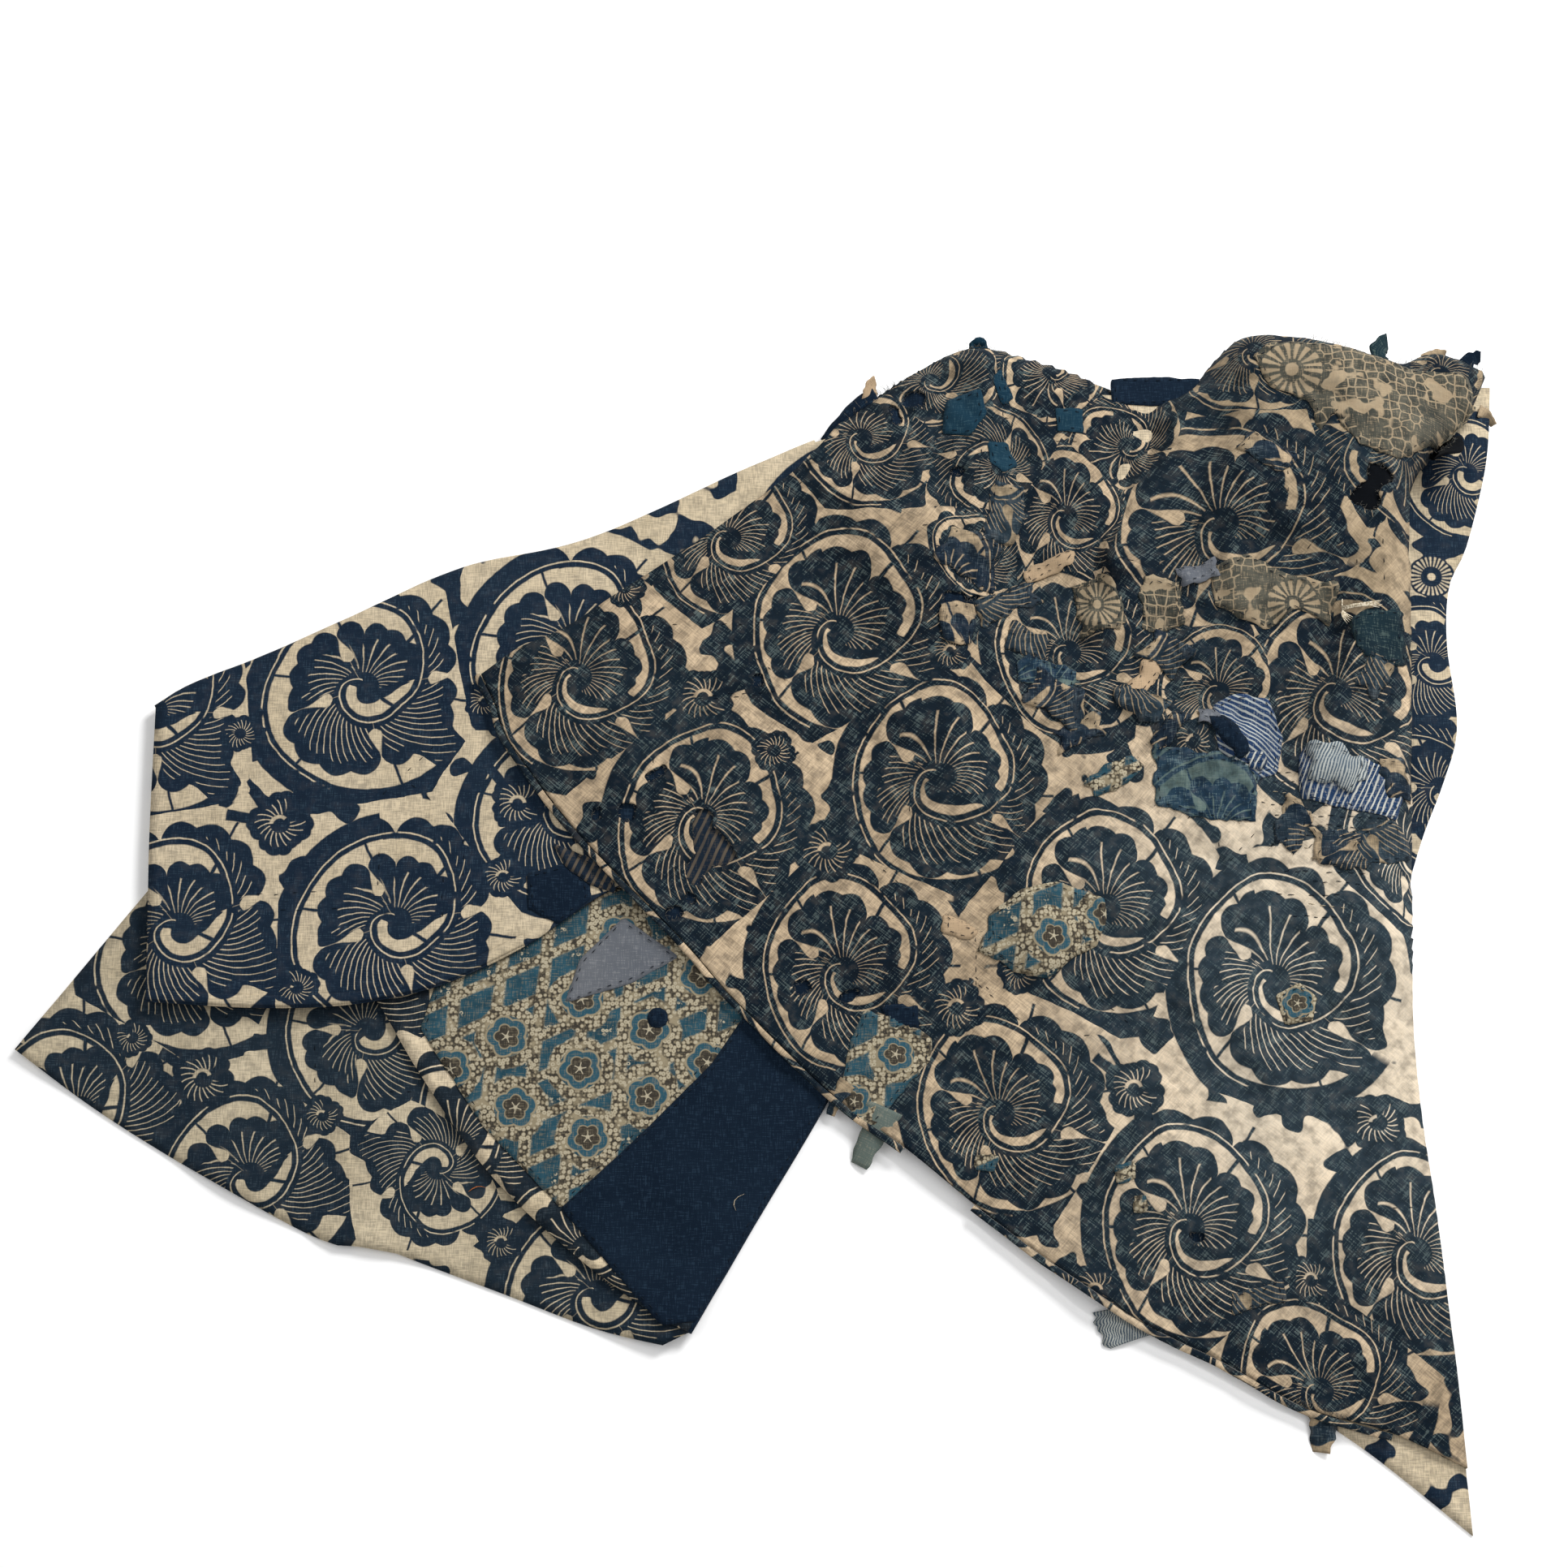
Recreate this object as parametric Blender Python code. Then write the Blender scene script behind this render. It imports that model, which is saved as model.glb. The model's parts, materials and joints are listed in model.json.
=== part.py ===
"""Boro patched cloth, laid out and folded on a flat surface, as closed solids.

One worn indigo cloth is folded back and forth. From the surface up its layers are the low leaf,
the back leaf, the under leaf and the top leaf, and each pair is joined by a soft fold. The larger
patches that are sewn to it are thin sheets on top of their own leaf.

Plan places are millimetres, x to the right and y away from the viewer. Heights are millimetres
from the surface to the middle of the sheet.
"""

import math
from typing import NamedTuple

import bmesh
import bpy
from mathutils import Vector
from mathutils.kdtree import KDTree

MM = 0.001

# Driving sizes, in millimetres
SHEET = 1.6
PATCH = 0.9
GAP = 0.3
LOW_LEVEL = SHEET / 2
BACK_LEVEL = 5.2
UPPER_LEVEL = 10.0
PLAN_CENTRE = (-5.5, -96.55)
FOLD_STEPS = 3
RIM_ROLL = 26.0
RIM_LEVEL = 4.6
PATCH_INSET = 0.04

# Cells of each leaf's grid
BAND_CELLS = 18
UNDER_CELLS = 12
LOW_CELLS = (6, 1, 5)
BACK_CELLS = 12
LOOSE_TIP_CELLS = 1
JOINED_CELLS = 10
UPPER_CELLS = 10
TOP_CELLS = 40
TOP_PER_UNDER = 2


class Place(NamedTuple):
    """A named place on a leaf, and the height of the sheet's middle there."""

    name: str
    x: float
    y: float
    height: float
    spread: float


class Crease(NamedTuple):
    """A soft ridge, or a trough where its height is negative, between two places."""

    name: str
    start: tuple
    end: tuple
    height: float
    width: float
    lean: tuple


class Patch(NamedTuple):
    """A sewn sheet that covers a run of cells of its leaf."""

    name: str
    leaf: str
    across: tuple
    along: tuple
    colour: tuple


# Outlines in plan, read once round each leaf
LOW_FREE_EDGE = [(-553, -205), (-508, -142), (-440, -50), (-345, 78)]
LOW_HEM = [
    [(-553, -205), (-498, -245), (-443, -280), (-372, -321), (-322, -346), (-302, -349)],
    [(-302, -349), (-273, -354)],
    [(-273, -354), (-198, -382), (-130, -408), (-72, -423)],
]
LOW_FAR_EDGE = [
    [(-345, 78), (-250, 62), (-120, 36)],
    [(-120, 36), (-90, 30)],
    [(-90, 30), (40, 5), (150, -20)],
]
RIGHT_FOLD = [(-67, -411), (-26, -337), (7, -281), (34, -233), (85, -141), (150, -20)]
BACK_HEM = [
    (-72, -412), (-141, -361), (-209, -297), (-262, -222), (-300, -160), (-378, -55), (-466, 56),
]
BACK_FAR_EDGE = [(150, -20), (105, 110), (24, 273)]
UPPER_FOLD = [
    (-466, 56), (-439, 74), (-383, 98), (-322, 128), (-240, 168), (-147, 191), (-28, 249), (24, 273),
]
UNDER_TOP_EDGE = [(24, 273), (150, 312), (280, 312), (400, 318), (470, 322), (542, 322)]
UNDER_LEFT_EDGE = [(-460, -171), (-462, -120), (-465, -40), (-466, 56)]
UPPER_HEM = [
    (-460, -171), (-390, -175), (-331, -175), (-290, -170), (-244, -157), (-186, -128), (-122, -84),
    (-40, -58), (40, -90),
]
UNDER_HEM = [
    (40, -90), (120, -200), (200, -330), (262, -402), (330, -440), (378, -474), (416, -502), (474, -551),
]
LOOSE_TIP = [(474, -551), (472, -505)]
LOWER_RIGHT_FOLD = [(472, -505), (468, -424), (461, -325), (454, -240), (453, -171), (457, -79)]
UNDER_RIGHT_EDGE = [
    (457, -79), (470, -41), (487, 0), (499, 42), (496, 107), (501, 157), (515, 187), (528, 230),
    (536, 267), (542, 322),
]
TOP_LOWER_EDGE = [
    (-225, 81), (-213, 56), (-201, 25), (-146, -49), (-73, -126), (-33, -172), (34, -239),
    (86, -279), (135, -320), (190, -363), (247, -402), (304, -431), (361, -463), (422, -481), (472, -505),
]
TOP_LEFT_EDGE = [(-225, 81), (-200, 100), (-160, 121), (-79, 179), (18, 255), (46, 290)]
TOP_FAR_EDGE = [
    (46, 290), (101, 331), (147, 351), (199, 338), (253, 318), (285, 309), (312, 318), (330, 340),
    (356, 357), (410, 351), (464, 336), (501, 346), (538, 330),
]
TOP_RIGHT_EDGE = [
    (457, -79), (461, -10), (465, 60), (469, 149), (472, 225), (494, 262), (519, 290), (538, 330),
]

# Heights of the top leaf; columns: name, x, y, height, spread
TOP_PLACES = [
    Place("left corner", -215, 80, 15.0, 60),
    Place("over the folded stack", -90, 40, 16.5, 90),
    Place("lower left edge", -30, -165, 12.0, 55),
    Place("lower edge", 120, -305, 10.0, 60),
    Place("lower edge by the tip", 330, -440, 9.0, 60),
    Place("tip", 470, -505, 4.5, 60),
    Place("lower right fold", 455, -240, 6.0, 50),
    Place("lower middle", 300, -220, 15.0, 90),
    Place("middle", 180, -40, 20.0, 90),
    Place("right middle", 390, -30, 24.0, 80),
    Place("upper left crease", -60, 180, 15.0, 45),
    Place("left shoulder", 150, 250, 26.0, 60),
    Place("head of the valley", 285, 280, 9.0, 35),
    Place("foot of the valley", 240, 130, 17.0, 60),
    Place("hood", 410, 240, 50.0, 60),
    Place("below the hood", 390, 110, 34.0, 60),
    Place("right fold", 455, 80, 26.0, 50),
    Place("hood corner", 525, 310, 30.0, 35),
]

# Columns: name, start, end, height, width, lean in plan
TOP_CREASES = [
    Crease("hood lip", (318, 300), (262, 170), 16.0, 20.0, (-9.0, -3.0)),
    Crease("hood foot", (262, 170), (246, 120), 9.0, 18.0, (-4.0, 0.0)),
    Crease("hood middle fold", (430, 300), (400, 150), 6.0, 26.0, (0.0, 0.0)),
    Crease("shoulder seam", (150, 335), (146, 180), 7.0, 14.0, (3.0, 0.0)),
    Crease("long ridge", (105, 200), (130, -20), 8.0, 20.0, (4.0, 0.0)),
    Crease("long ridge foot", (130, -20), (185, -130), 6.0, 22.0, (3.0, 0.0)),
    Crease("short ridge", (60, 230), (85, 120), 5.0, 16.0, (0.0, 0.0)),
    Crease("deep trough", (410, 115), (362, 10), -12.0, 15.0, (0.0, 0.0)),
    Crease("trough edge", (436, 110), (392, -10), 7.0, 15.0, (-4.0, 0.0)),
    Crease("cross wrinkle", (230, 60), (345, 10), 6.0, 15.0, (0.0, 3.0)),
    Crease("lower cross wrinkle", (140, -150), (270, -200), -5.0, 22.0, (0.0, 0.0)),
    Crease("diagonal ridge", (200, -60), (330, -170), 6.0, 26.0, (0.0, 0.0)),
    Crease("lower ridge", (230, -290), (360, -360), 5.0, 30.0, (0.0, 0.0)),
    Crease("right hand ridge", (420, -60), (430, -330), 5.0, 22.0, (0.0, 0.0)),
    Crease("left swell", (-150, 60), (-20, -60), 3.0, 45.0, (0.0, 0.0)),
    Crease("tip pinch", (400, -425), (455, -470), 5.0, 16.0, (0.0, 0.0)),
]

# Lifts of the folded stack, shared by all its leaves so that they stay apart
STACK_LIFTS = [
    Place("low tip", -72, -424, 7.0, 45),
    Place("low notch", -292, -356, 5.0, 26),
    Place("low hem", -395, -312, 3.5, 34),
    Place("low corner", -556, -208, 4.0, 40),
]

UNDER_LIFTS = [
    Place("right strip top", 520, 280, 7.0, 45),
    Place("right strip middle", 497, 60, 6.0, 50),
    Place("upper hem", -300, -176, 2.0, 50),
    Place("upper corner", -462, -175, 1.5, 40),
]

INDIGO = (0.018, 0.035, 0.072, 1.0)
PRINT = (0.075, 0.105, 0.150, 1.0)
TEAL = (0.120, 0.210, 0.245, 1.0)
GREY_GREEN = (0.165, 0.165, 0.135, 1.0)
STRIPE_BLUE = (0.100, 0.165, 0.290, 1.0)
CLOTH_ROUGHNESS = 0.9

# Columns: name, leaf, cells across, cells along, colour
PATCHES = [
    Patch("indigo_panel", "back", (2, 15), (0, 3), INDIGO),
    Patch("calico_panel", "back", (2, 15), (3, 9), TEAL),
    Patch("hood_patch", "top", (30, 37), (33, 38), GREY_GREEN),
    Patch("flower_patch", "top", (21, 26), (16, 20), TEAL),
    Patch("striped_patch_left", "top", (27, 30), (25, 28), STRIPE_BLUE),
    Patch("striped_patch_right", "top", (33, 37), (24, 27), STRIPE_BLUE),
    Patch("plain_patch", "top", (17, 20), (33, 36), INDIGO),
]


def clear_scene():
    """Remove everything that a new file starts with."""
    for thing in list(bpy.data.objects):
        bpy.data.objects.remove(thing, do_unlink=True)


def smooth_line(points, steps=12):
    """Return a fine line that passes smoothly through the plan places."""
    if len(points) < 3:
        return [Vector((x, y, 0)) for x, y in points]
    ends = [points[0]] + list(points) + [points[-1]]
    line = []
    for i in range(1, len(ends) - 2):
        a, b, c, d = (Vector((*ends[i + k], 0)) for k in (-1, 0, 1, 2))
        for step in range(steps):
            t = step / steps
            line.append(0.5 * (2 * b + (c - a) * t + (2 * a - 5 * b + 4 * c - d) * t * t
                               + (3 * b - a - 3 * c + d) * t ** 3))
    line.append(Vector((*points[-1], 0)))
    return line


def split_line(points, cells, ease=0.0):
    """Cut a smooth line into cells of equal length; ease draws the last cuts towards its end."""
    line = smooth_line(points)
    lengths = [0.0]
    for a, b in zip(line, line[1:]):
        lengths.append(lengths[-1] + (b - a).length)
    cuts = []
    for k in range(cells + 1):
        share = k / cells
        share += ease * share ** 6 * (1 - share)
        wanted = share * lengths[-1]
        i = max(j for j, length in enumerate(lengths[:-1]) if length <= wanted + 1e-9)
        part = (wanted - lengths[i]) / (lengths[i + 1] - lengths[i])
        cuts.append(line[i].lerp(line[i + 1], part))
    return cuts


def join_runs(*runs):
    """Join cut lines that follow on from each other."""
    joined = list(runs[0])
    for run in runs[1:]:
        joined += run[1:]
    return joined


def fill_sides(near, far, left, right):
    """Fill four sides with a grid of plan places, as rows from the near side to the far one."""
    columns = len(near) - 1
    rows = len(left) - 1
    grid = []
    for j in range(rows + 1):
        v = j / rows
        row = []
        for i in range(columns + 1):
            u = i / columns
            ruled = near[i].lerp(far[i], v) + left[j].lerp(right[j], u)
            corners = near[0].lerp(near[-1], u).lerp(far[0].lerp(far[-1], u), v)
            row.append(ruled - corners)
        grid.append(row)
    return grid


def ease_in(value, low, high):
    """Return 0 below low, 1 above high, and a smooth rise between."""
    t = min(1.0, max(0.0, (value - low) / (high - low)))
    return t * t * (3 - 2 * t)


def distance_to_run(point, start, end):
    """Return the distance in plan from a place to a straight run."""
    a = Vector(start)
    run = Vector(end) - a
    t = min(1.0, max(0.0, (point.xy - a).dot(run) / run.length_squared))
    return (point.xy - a - run * t).length


def lifts_at(point, lifts):
    """Return the height that the lifts add at a place; each ends at twice its spread."""
    height = 0.0
    for lift in lifts:
        share = ((point.x - lift.x) ** 2 + (point.y - lift.y) ** 2) / (2 * lift.spread) ** 2
        height += lift.height * max(0.0, 1.0 - share) ** 3
    return height


def blended_height(point, places):
    """Return the height between named places, each weighted by its nearness."""
    total = 0.0
    height = 0.0
    for place in places:
        weight = math.exp(-((point.x - place.x) ** 2 + (point.y - place.y) ** 2) / place.spread ** 2)
        weight += 1e-5
        total += weight
        height += weight * place.height
    return height / total


def stack_point(point, level):
    """Lift a place of the folded stack to its leaf's level."""
    return Vector((point.x, point.y, level + lifts_at(point, STACK_LIFTS)))


def under_point(point):
    """Place the under leaf: on the stack at the left, on the surface at the right."""
    past_fold = signed_side(point, RIGHT_FOLD[2], RIGHT_FOLD[-1])
    on_stack = 1.0 - ease_in(past_fold, 14.0, 75.0)
    level = LOW_LEVEL + (UPPER_LEVEL - LOW_LEVEL) * on_stack
    return Vector((point.x, point.y, level + lifts_at(point, UNDER_LIFTS)))


def signed_side(point, start, end):
    """Return how far a place lies to the right of a line, in plan."""
    along = (Vector(end) - Vector(start)).normalized()
    offset = point.xy - Vector(start)
    return offset.x * along.y - offset.y * along.x


def rim_tree(*lines):
    """Make a search tree of the places along some edges."""
    places = [place for line in lines for place in line]
    tree = KDTree(len(places))
    for index, place in enumerate(places):
        tree.insert((place.x, place.y, 0.0), index)
    tree.balance()
    return tree


def top_point(point, rim):
    """Place the top leaf: named heights, then creases, then the rims that turn down."""
    height = blended_height(point, TOP_PLACES)
    shift = Vector((0.0, 0.0))
    for crease in TOP_CREASES:
        near = math.exp(-(distance_to_run(point, crease.start, crease.end) / crease.width) ** 2)
        height += crease.height * near
        shift += Vector(crease.lean) * near
    from_rim = rim.find((point.x, point.y, 0.0))[2]
    roll = min(1.0, from_rim / RIM_ROLL)
    rise = math.sqrt(1.0 - (1.0 - roll) ** 2)
    height = RIM_LEVEL + (height - RIM_LEVEL) * rise
    return Vector((point.x + shift.x * rise, point.y + shift.y * rise, height))


def low_leaf():
    """Return the grid of the low leaf, from its free edge to the right fold."""
    near = join_runs(*(split_line(run, cells) for run, cells in zip(LOW_HEM, LOW_CELLS)))
    far = join_runs(*(split_line(run, cells) for run, cells in zip(LOW_FAR_EDGE, LOW_CELLS)))
    left = split_line(LOW_FREE_EDGE, BAND_CELLS)
    right = split_line(RIGHT_FOLD, BAND_CELLS)
    near[-1] = right[0]
    grid = fill_sides(near, far, left, right)
    return [[stack_point(p, LOW_LEVEL) for p in row] for row in grid]


def back_leaf():
    """Return the grid of the back leaf: its columns run from the right fold to the upper fold."""
    near = split_line(BACK_HEM, BACK_CELLS)
    far = split_line(BACK_FAR_EDGE, BACK_CELLS)
    left = split_line(RIGHT_FOLD, BAND_CELLS)
    right = split_line(UPPER_FOLD, BAND_CELLS)
    near[0] = left[0]
    grid = fill_sides(near, far, left, right)
    return [[stack_point(p, BACK_LEVEL) for p in row] for row in grid]


def under_leaf():
    """Return the grid of the under leaf, which runs from the stack to the right hand side."""
    near = join_runs(split_line(UPPER_HEM, BAND_CELLS), split_line(UNDER_HEM, UNDER_CELLS))
    far = join_runs(split_line(UPPER_FOLD, BAND_CELLS), split_line(UNDER_TOP_EDGE, UNDER_CELLS))
    rows = LOOSE_TIP_CELLS + JOINED_CELLS + UPPER_CELLS
    left = split_line(UNDER_LEFT_EDGE, rows)
    right = join_runs(split_line(LOOSE_TIP, LOOSE_TIP_CELLS), split_line(LOWER_RIGHT_FOLD, JOINED_CELLS),
                      split_line(UNDER_RIGHT_EDGE, UPPER_CELLS))
    return [[under_point(p) for p in row] for row in fill_sides(near, far, left, right)]


def top_leaf():
    """Return the grid of the top leaf, from its lower edge to its far edge."""
    near = split_line(TOP_LOWER_EDGE, TOP_CELLS)
    far = split_line(TOP_FAR_EDGE, TOP_CELLS)
    left = split_line(TOP_LEFT_EDGE, TOP_PER_UNDER * (JOINED_CELLS + UPPER_CELLS), 0.5)
    right = join_runs(split_line(LOWER_RIGHT_FOLD, TOP_PER_UNDER * JOINED_CELLS),
                      split_line(TOP_RIGHT_EDGE, TOP_PER_UNDER * UPPER_CELLS, 0.5))
    rim = rim_tree(smooth_line(TOP_FAR_EDGE), smooth_line(TOP_RIGHT_EDGE), smooth_line(LOWER_RIGHT_FOLD))
    return [[top_point(p, rim) for p in row] for row in fill_sides(near, far, left, right)]


def add_grid(mesh, points):
    """Add a leaf's grid to a mesh in metres and return its vertices, row by row."""
    rows = len(points) - 1
    columns = len(points[0]) - 1
    made = bmesh.ops.create_grid(mesh, x_segments=columns, y_segments=rows, size=1.0)["verts"]
    made.sort(key=lambda v: (round(v.co.y, 5), round(v.co.x, 5)))
    width = columns + 1
    lines = [made[j * width:(j + 1) * width] for j in range(rows + 1)]
    for line, places in zip(lines, points):
        for vertex, place in zip(line, places):
            vertex.co = (place - Vector((*PLAN_CENTRE, 0))) * MM
    return lines


def add_fold(mesh, lower, upper, outward):
    """Join the edges of two leaves, one above the other, by a soft half-round fold."""
    before = lower
    for step in range(1, FOLD_STEPS + 1):
        angle = math.pi * step / (FOLD_STEPS + 1)
        ring = []
        for low, high in zip(lower, upper):
            middle = (low.co + high.co) / 2
            radius = (high.co.z - low.co.z) / 2
            ring.append(mesh.verts.new(middle + outward * radius * math.sin(angle)
                                       - Vector((0, 0, radius * math.cos(angle)))))
        add_band(mesh, before, ring)
        before = ring
    add_band(mesh, before, upper)


def add_band(mesh, first, second):
    """Fill between two rows of the same number of vertices."""
    for i in range(len(first) - 1):
        mesh.faces.new((first[i], first[i + 1], second[i + 1], second[i]))


def add_crease(mesh, lower, upper):
    """Join two edges where the upper one has two cells for each cell of the lower one."""
    for i in range(len(lower) - 1):
        a, b, c = upper[2 * i:2 * i + 3]
        mesh.faces.new((lower[i], a, b))
        mesh.faces.new((lower[i], b, lower[i + 1]))
        mesh.faces.new((lower[i + 1], b, c))


def column(lines, index):
    """Return one column of a grid's vertices."""
    return [line[index] for line in lines]


def cloth_material(name, colour):
    """Return a dull cloth material of one colour."""
    material = bpy.data.materials.new(name)
    material.use_nodes = True
    shader = material.node_tree.nodes["Principled BSDF"]
    shader.inputs["Base Color"].default_value = colour
    shader.inputs["Roughness"].default_value = CLOTH_ROUGHNESS
    shader.inputs["Metallic"].default_value = 0.0
    return material


def sheet_object(name, mesh, thickness, colour):
    """Give a one-sided mesh its thickness and put it in the scene."""
    bmesh.ops.recalc_face_normals(mesh, faces=mesh.faces)
    data = bpy.data.meshes.new(name)
    mesh.to_mesh(data)
    mesh.free()
    data.materials.append(cloth_material(name + "_cloth", colour))
    data.shade_smooth()
    thing = bpy.data.objects.new(name, data)
    bpy.context.scene.collection.objects.link(thing)
    solidify = thing.modifiers.new("thickness", "SOLIDIFY")
    solidify.thickness = thickness * MM
    solidify.offset = 0.0
    return thing


def make_cloth(leaves):
    """Make the cloth: four leaves and the three folds that join them, as one solid."""
    mesh = bmesh.new()
    low = add_grid(mesh, leaves["low"])
    back = add_grid(mesh, leaves["back"])
    under = add_grid(mesh, leaves["under"])
    top = add_grid(mesh, leaves["top"])
    along_right = (Vector(RIGHT_FOLD[-1]) - Vector(RIGHT_FOLD[0])).normalized()
    along_upper = (Vector(UPPER_FOLD[-1]) - Vector(UPPER_FOLD[0])).normalized()
    add_fold(mesh, column(low, -1), column(back, 0), Vector((along_right.y, -along_right.x, 0)))
    add_fold(mesh, column(back, -1), under[-1][:BAND_CELLS + 1], Vector((-along_upper.y, along_upper.x, 0)))
    joined = column(under, -1)[LOOSE_TIP_CELLS:LOOSE_TIP_CELLS + JOINED_CELLS + 1]
    add_crease(mesh, joined, column(top, -1)[:TOP_PER_UNDER * JOINED_CELLS + 1])
    return sheet_object("cloth", mesh, SHEET, PRINT)


def leaf_point(points, row, column_index):
    """Return the place between a leaf's grid points at a fractional row and column."""
    j = min(int(row), len(points) - 2)
    i = min(int(column_index), len(points[0]) - 2)
    near = points[j][i].lerp(points[j][i + 1], column_index - i)
    far = points[j + 1][i].lerp(points[j + 1][i + 1], column_index - i)
    return near.lerp(far, row - j)


def make_patch(patch, leaves):
    """Make a sewn patch that follows its leaf, a seam's clearance above it."""
    points = leaves[patch.leaf]
    c0, c1 = patch.across
    r0, r1 = patch.along
    if patch.leaf == "back":
        c0, c1, r0, r1 = r0, r1, c0, c1
    grid = []
    for row in range(r0, r1 + 1):
        r = min(max(row, r0 + PATCH_INSET), r1 - PATCH_INSET)
        grid.append([leaf_point(points, r, min(max(c, c0 + PATCH_INSET), c1 - PATCH_INSET))
                     for c in range(c0, c1 + 1)])
    mesh = bmesh.new()
    add_grid(mesh, grid)
    mesh.normal_update()
    lift = (SHEET / 2 + GAP + PATCH / 2) * MM
    raised = [vertex.co + vertex.normal * math.copysign(lift, vertex.normal.z) for vertex in mesh.verts]
    for vertex, place in zip(mesh.verts, raised):
        vertex.co = place
    return sheet_object(patch.name, mesh, PATCH, patch.colour)


def main():
    """Build the cloth and its patches."""
    clear_scene()
    leaves = {"low": low_leaf(), "back": back_leaf(), "under": under_leaf(), "top": top_leaf()}
    make_cloth(leaves)
    for patch in PATCHES:
        make_patch(patch, leaves)


main()
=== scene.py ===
"""Boro patched cloth: the looks of a worn indigo cloth, folded and laid on a flat surface.

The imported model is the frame. One thin sheet on the same folds replaces the cloth solid, and thin
sheets on that sheet replace the patches. Stitches, frayed threads, holes and small extra patches
are added here. Plan places are millimetres, x to the right and y away from the viewer, and heights
are millimetres from the surface to the middle of the sheet.
"""

from __future__ import annotations

import json
import logging
import math
import random
from dataclasses import dataclass, field
from enum import Enum
from typing import Callable, Iterable, NamedTuple, Optional, Sequence, Union

import bmesh
import bpy
from mathutils import Matrix, Vector, noise
from mathutils.kdtree import KDTree

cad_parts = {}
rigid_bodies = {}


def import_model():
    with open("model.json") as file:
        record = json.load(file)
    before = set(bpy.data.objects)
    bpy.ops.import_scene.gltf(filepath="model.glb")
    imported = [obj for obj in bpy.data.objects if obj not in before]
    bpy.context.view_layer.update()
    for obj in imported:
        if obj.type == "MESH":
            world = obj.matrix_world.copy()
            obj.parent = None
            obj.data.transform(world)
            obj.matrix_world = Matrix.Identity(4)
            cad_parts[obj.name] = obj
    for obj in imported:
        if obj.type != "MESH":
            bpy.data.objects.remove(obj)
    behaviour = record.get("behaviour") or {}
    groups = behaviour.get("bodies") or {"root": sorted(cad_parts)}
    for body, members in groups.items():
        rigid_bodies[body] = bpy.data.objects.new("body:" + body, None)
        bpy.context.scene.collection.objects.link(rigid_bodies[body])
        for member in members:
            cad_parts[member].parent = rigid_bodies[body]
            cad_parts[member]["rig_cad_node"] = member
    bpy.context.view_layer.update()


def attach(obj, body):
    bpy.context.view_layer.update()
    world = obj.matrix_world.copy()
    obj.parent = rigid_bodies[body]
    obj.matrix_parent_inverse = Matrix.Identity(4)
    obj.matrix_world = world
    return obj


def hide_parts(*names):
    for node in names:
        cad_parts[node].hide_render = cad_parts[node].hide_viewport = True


LOG = logging.getLogger("patched_cloth")

MM = 0.001
BODY = "root"
FLAT_UV = "flat"
PLAN_CENTRE = Vector((-5.5, -96.55, 0.0))

SHEET = 1.6
PATCH = 0.6
SEAM_GAP = 0.2
LOW_LEVEL = SHEET / 2
BACK_LEVEL = 5.2
UPPER_LEVEL = 10.0
RIM_ROLL = 26.0
RIM_LEVEL = 4.6
TURNS_PER_DEGREE = 1.0 / 360.0

PlanPoint = tuple[float, float]


class Place(NamedTuple):
    """A named place on a leaf, and the height of the sheet's middle there."""

    name: str
    x: float
    y: float
    height: float
    spread: float


class Crease(NamedTuple):
    """A soft ridge, or a trough where its height is negative, between two places."""

    name: str
    start: PlanPoint
    end: PlanPoint
    height: float
    width: float
    lean: PlanPoint


class Motif(NamedTuple):
    """A printed motif: its centre, its size and how far it is turned, in degrees."""

    x: float
    y: float
    size: float
    turn: float


LOW_FREE_EDGE = [(-553, -205), (-508, -142), (-440, -50), (-345, 78)]
LOW_HEM = [
    [(-553, -205), (-498, -245), (-443, -280), (-372, -321), (-322, -346), (-302, -349)],
    [(-302, -349), (-273, -354)],
    [(-273, -354), (-198, -382), (-130, -408), (-72, -423)],
]
LOW_FAR_EDGE = [
    [(-345, 78), (-250, 62), (-120, 36)],
    [(-120, 36), (-90, 30)],
    [(-90, 30), (40, 5), (150, -20)],
]
RIGHT_FOLD = [(-67, -411), (-26, -337), (7, -281), (34, -233), (85, -141), (150, -20)]
BACK_HEM = [
    (-72, -412), (-141, -361), (-209, -297), (-262, -222), (-300, -160), (-378, -55), (-466, 56),
]
BACK_FAR_EDGE = [(150, -20), (105, 110), (24, 273)]
UPPER_FOLD = [
    (-466, 56), (-439, 74), (-383, 98), (-322, 128), (-240, 168), (-147, 191), (-28, 249), (24, 273),
]
UNDER_TOP_EDGE = [(24, 273), (150, 312), (280, 312), (400, 318), (470, 322), (542, 322)]
UNDER_LEFT_EDGE = [(-460, -171), (-462, -120), (-465, -40), (-466, 56)]
UPPER_HEM = [
    (-460, -171), (-390, -175), (-331, -175), (-290, -170), (-244, -157), (-186, -128), (-122, -84),
    (-40, -58), (40, -90),
]
UNDER_HEM = [
    (40, -90), (120, -200), (200, -330), (262, -402), (330, -440), (378, -474), (416, -502), (474, -551),
]
LOOSE_TIP = [(474, -551), (472, -505)]
LOWER_RIGHT_FOLD = [(472, -505), (468, -424), (461, -325), (454, -240), (453, -171), (457, -79)]
UNDER_RIGHT_EDGE = [
    (457, -79), (470, -41), (487, 0), (499, 42), (496, 107), (501, 157), (515, 187), (528, 230),
    (536, 267), (542, 322),
]
TOP_LOWER_EDGE = [
    (-225, 81), (-213, 56), (-201, 25), (-146, -49), (-73, -126), (-33, -172), (34, -239),
    (86, -279), (135, -320), (190, -363), (247, -402), (304, -431), (361, -463), (422, -481), (472, -505),
]
TOP_LEFT_EDGE = [(-225, 81), (-200, 100), (-160, 121), (-79, 179), (18, 255), (46, 290)]
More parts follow.
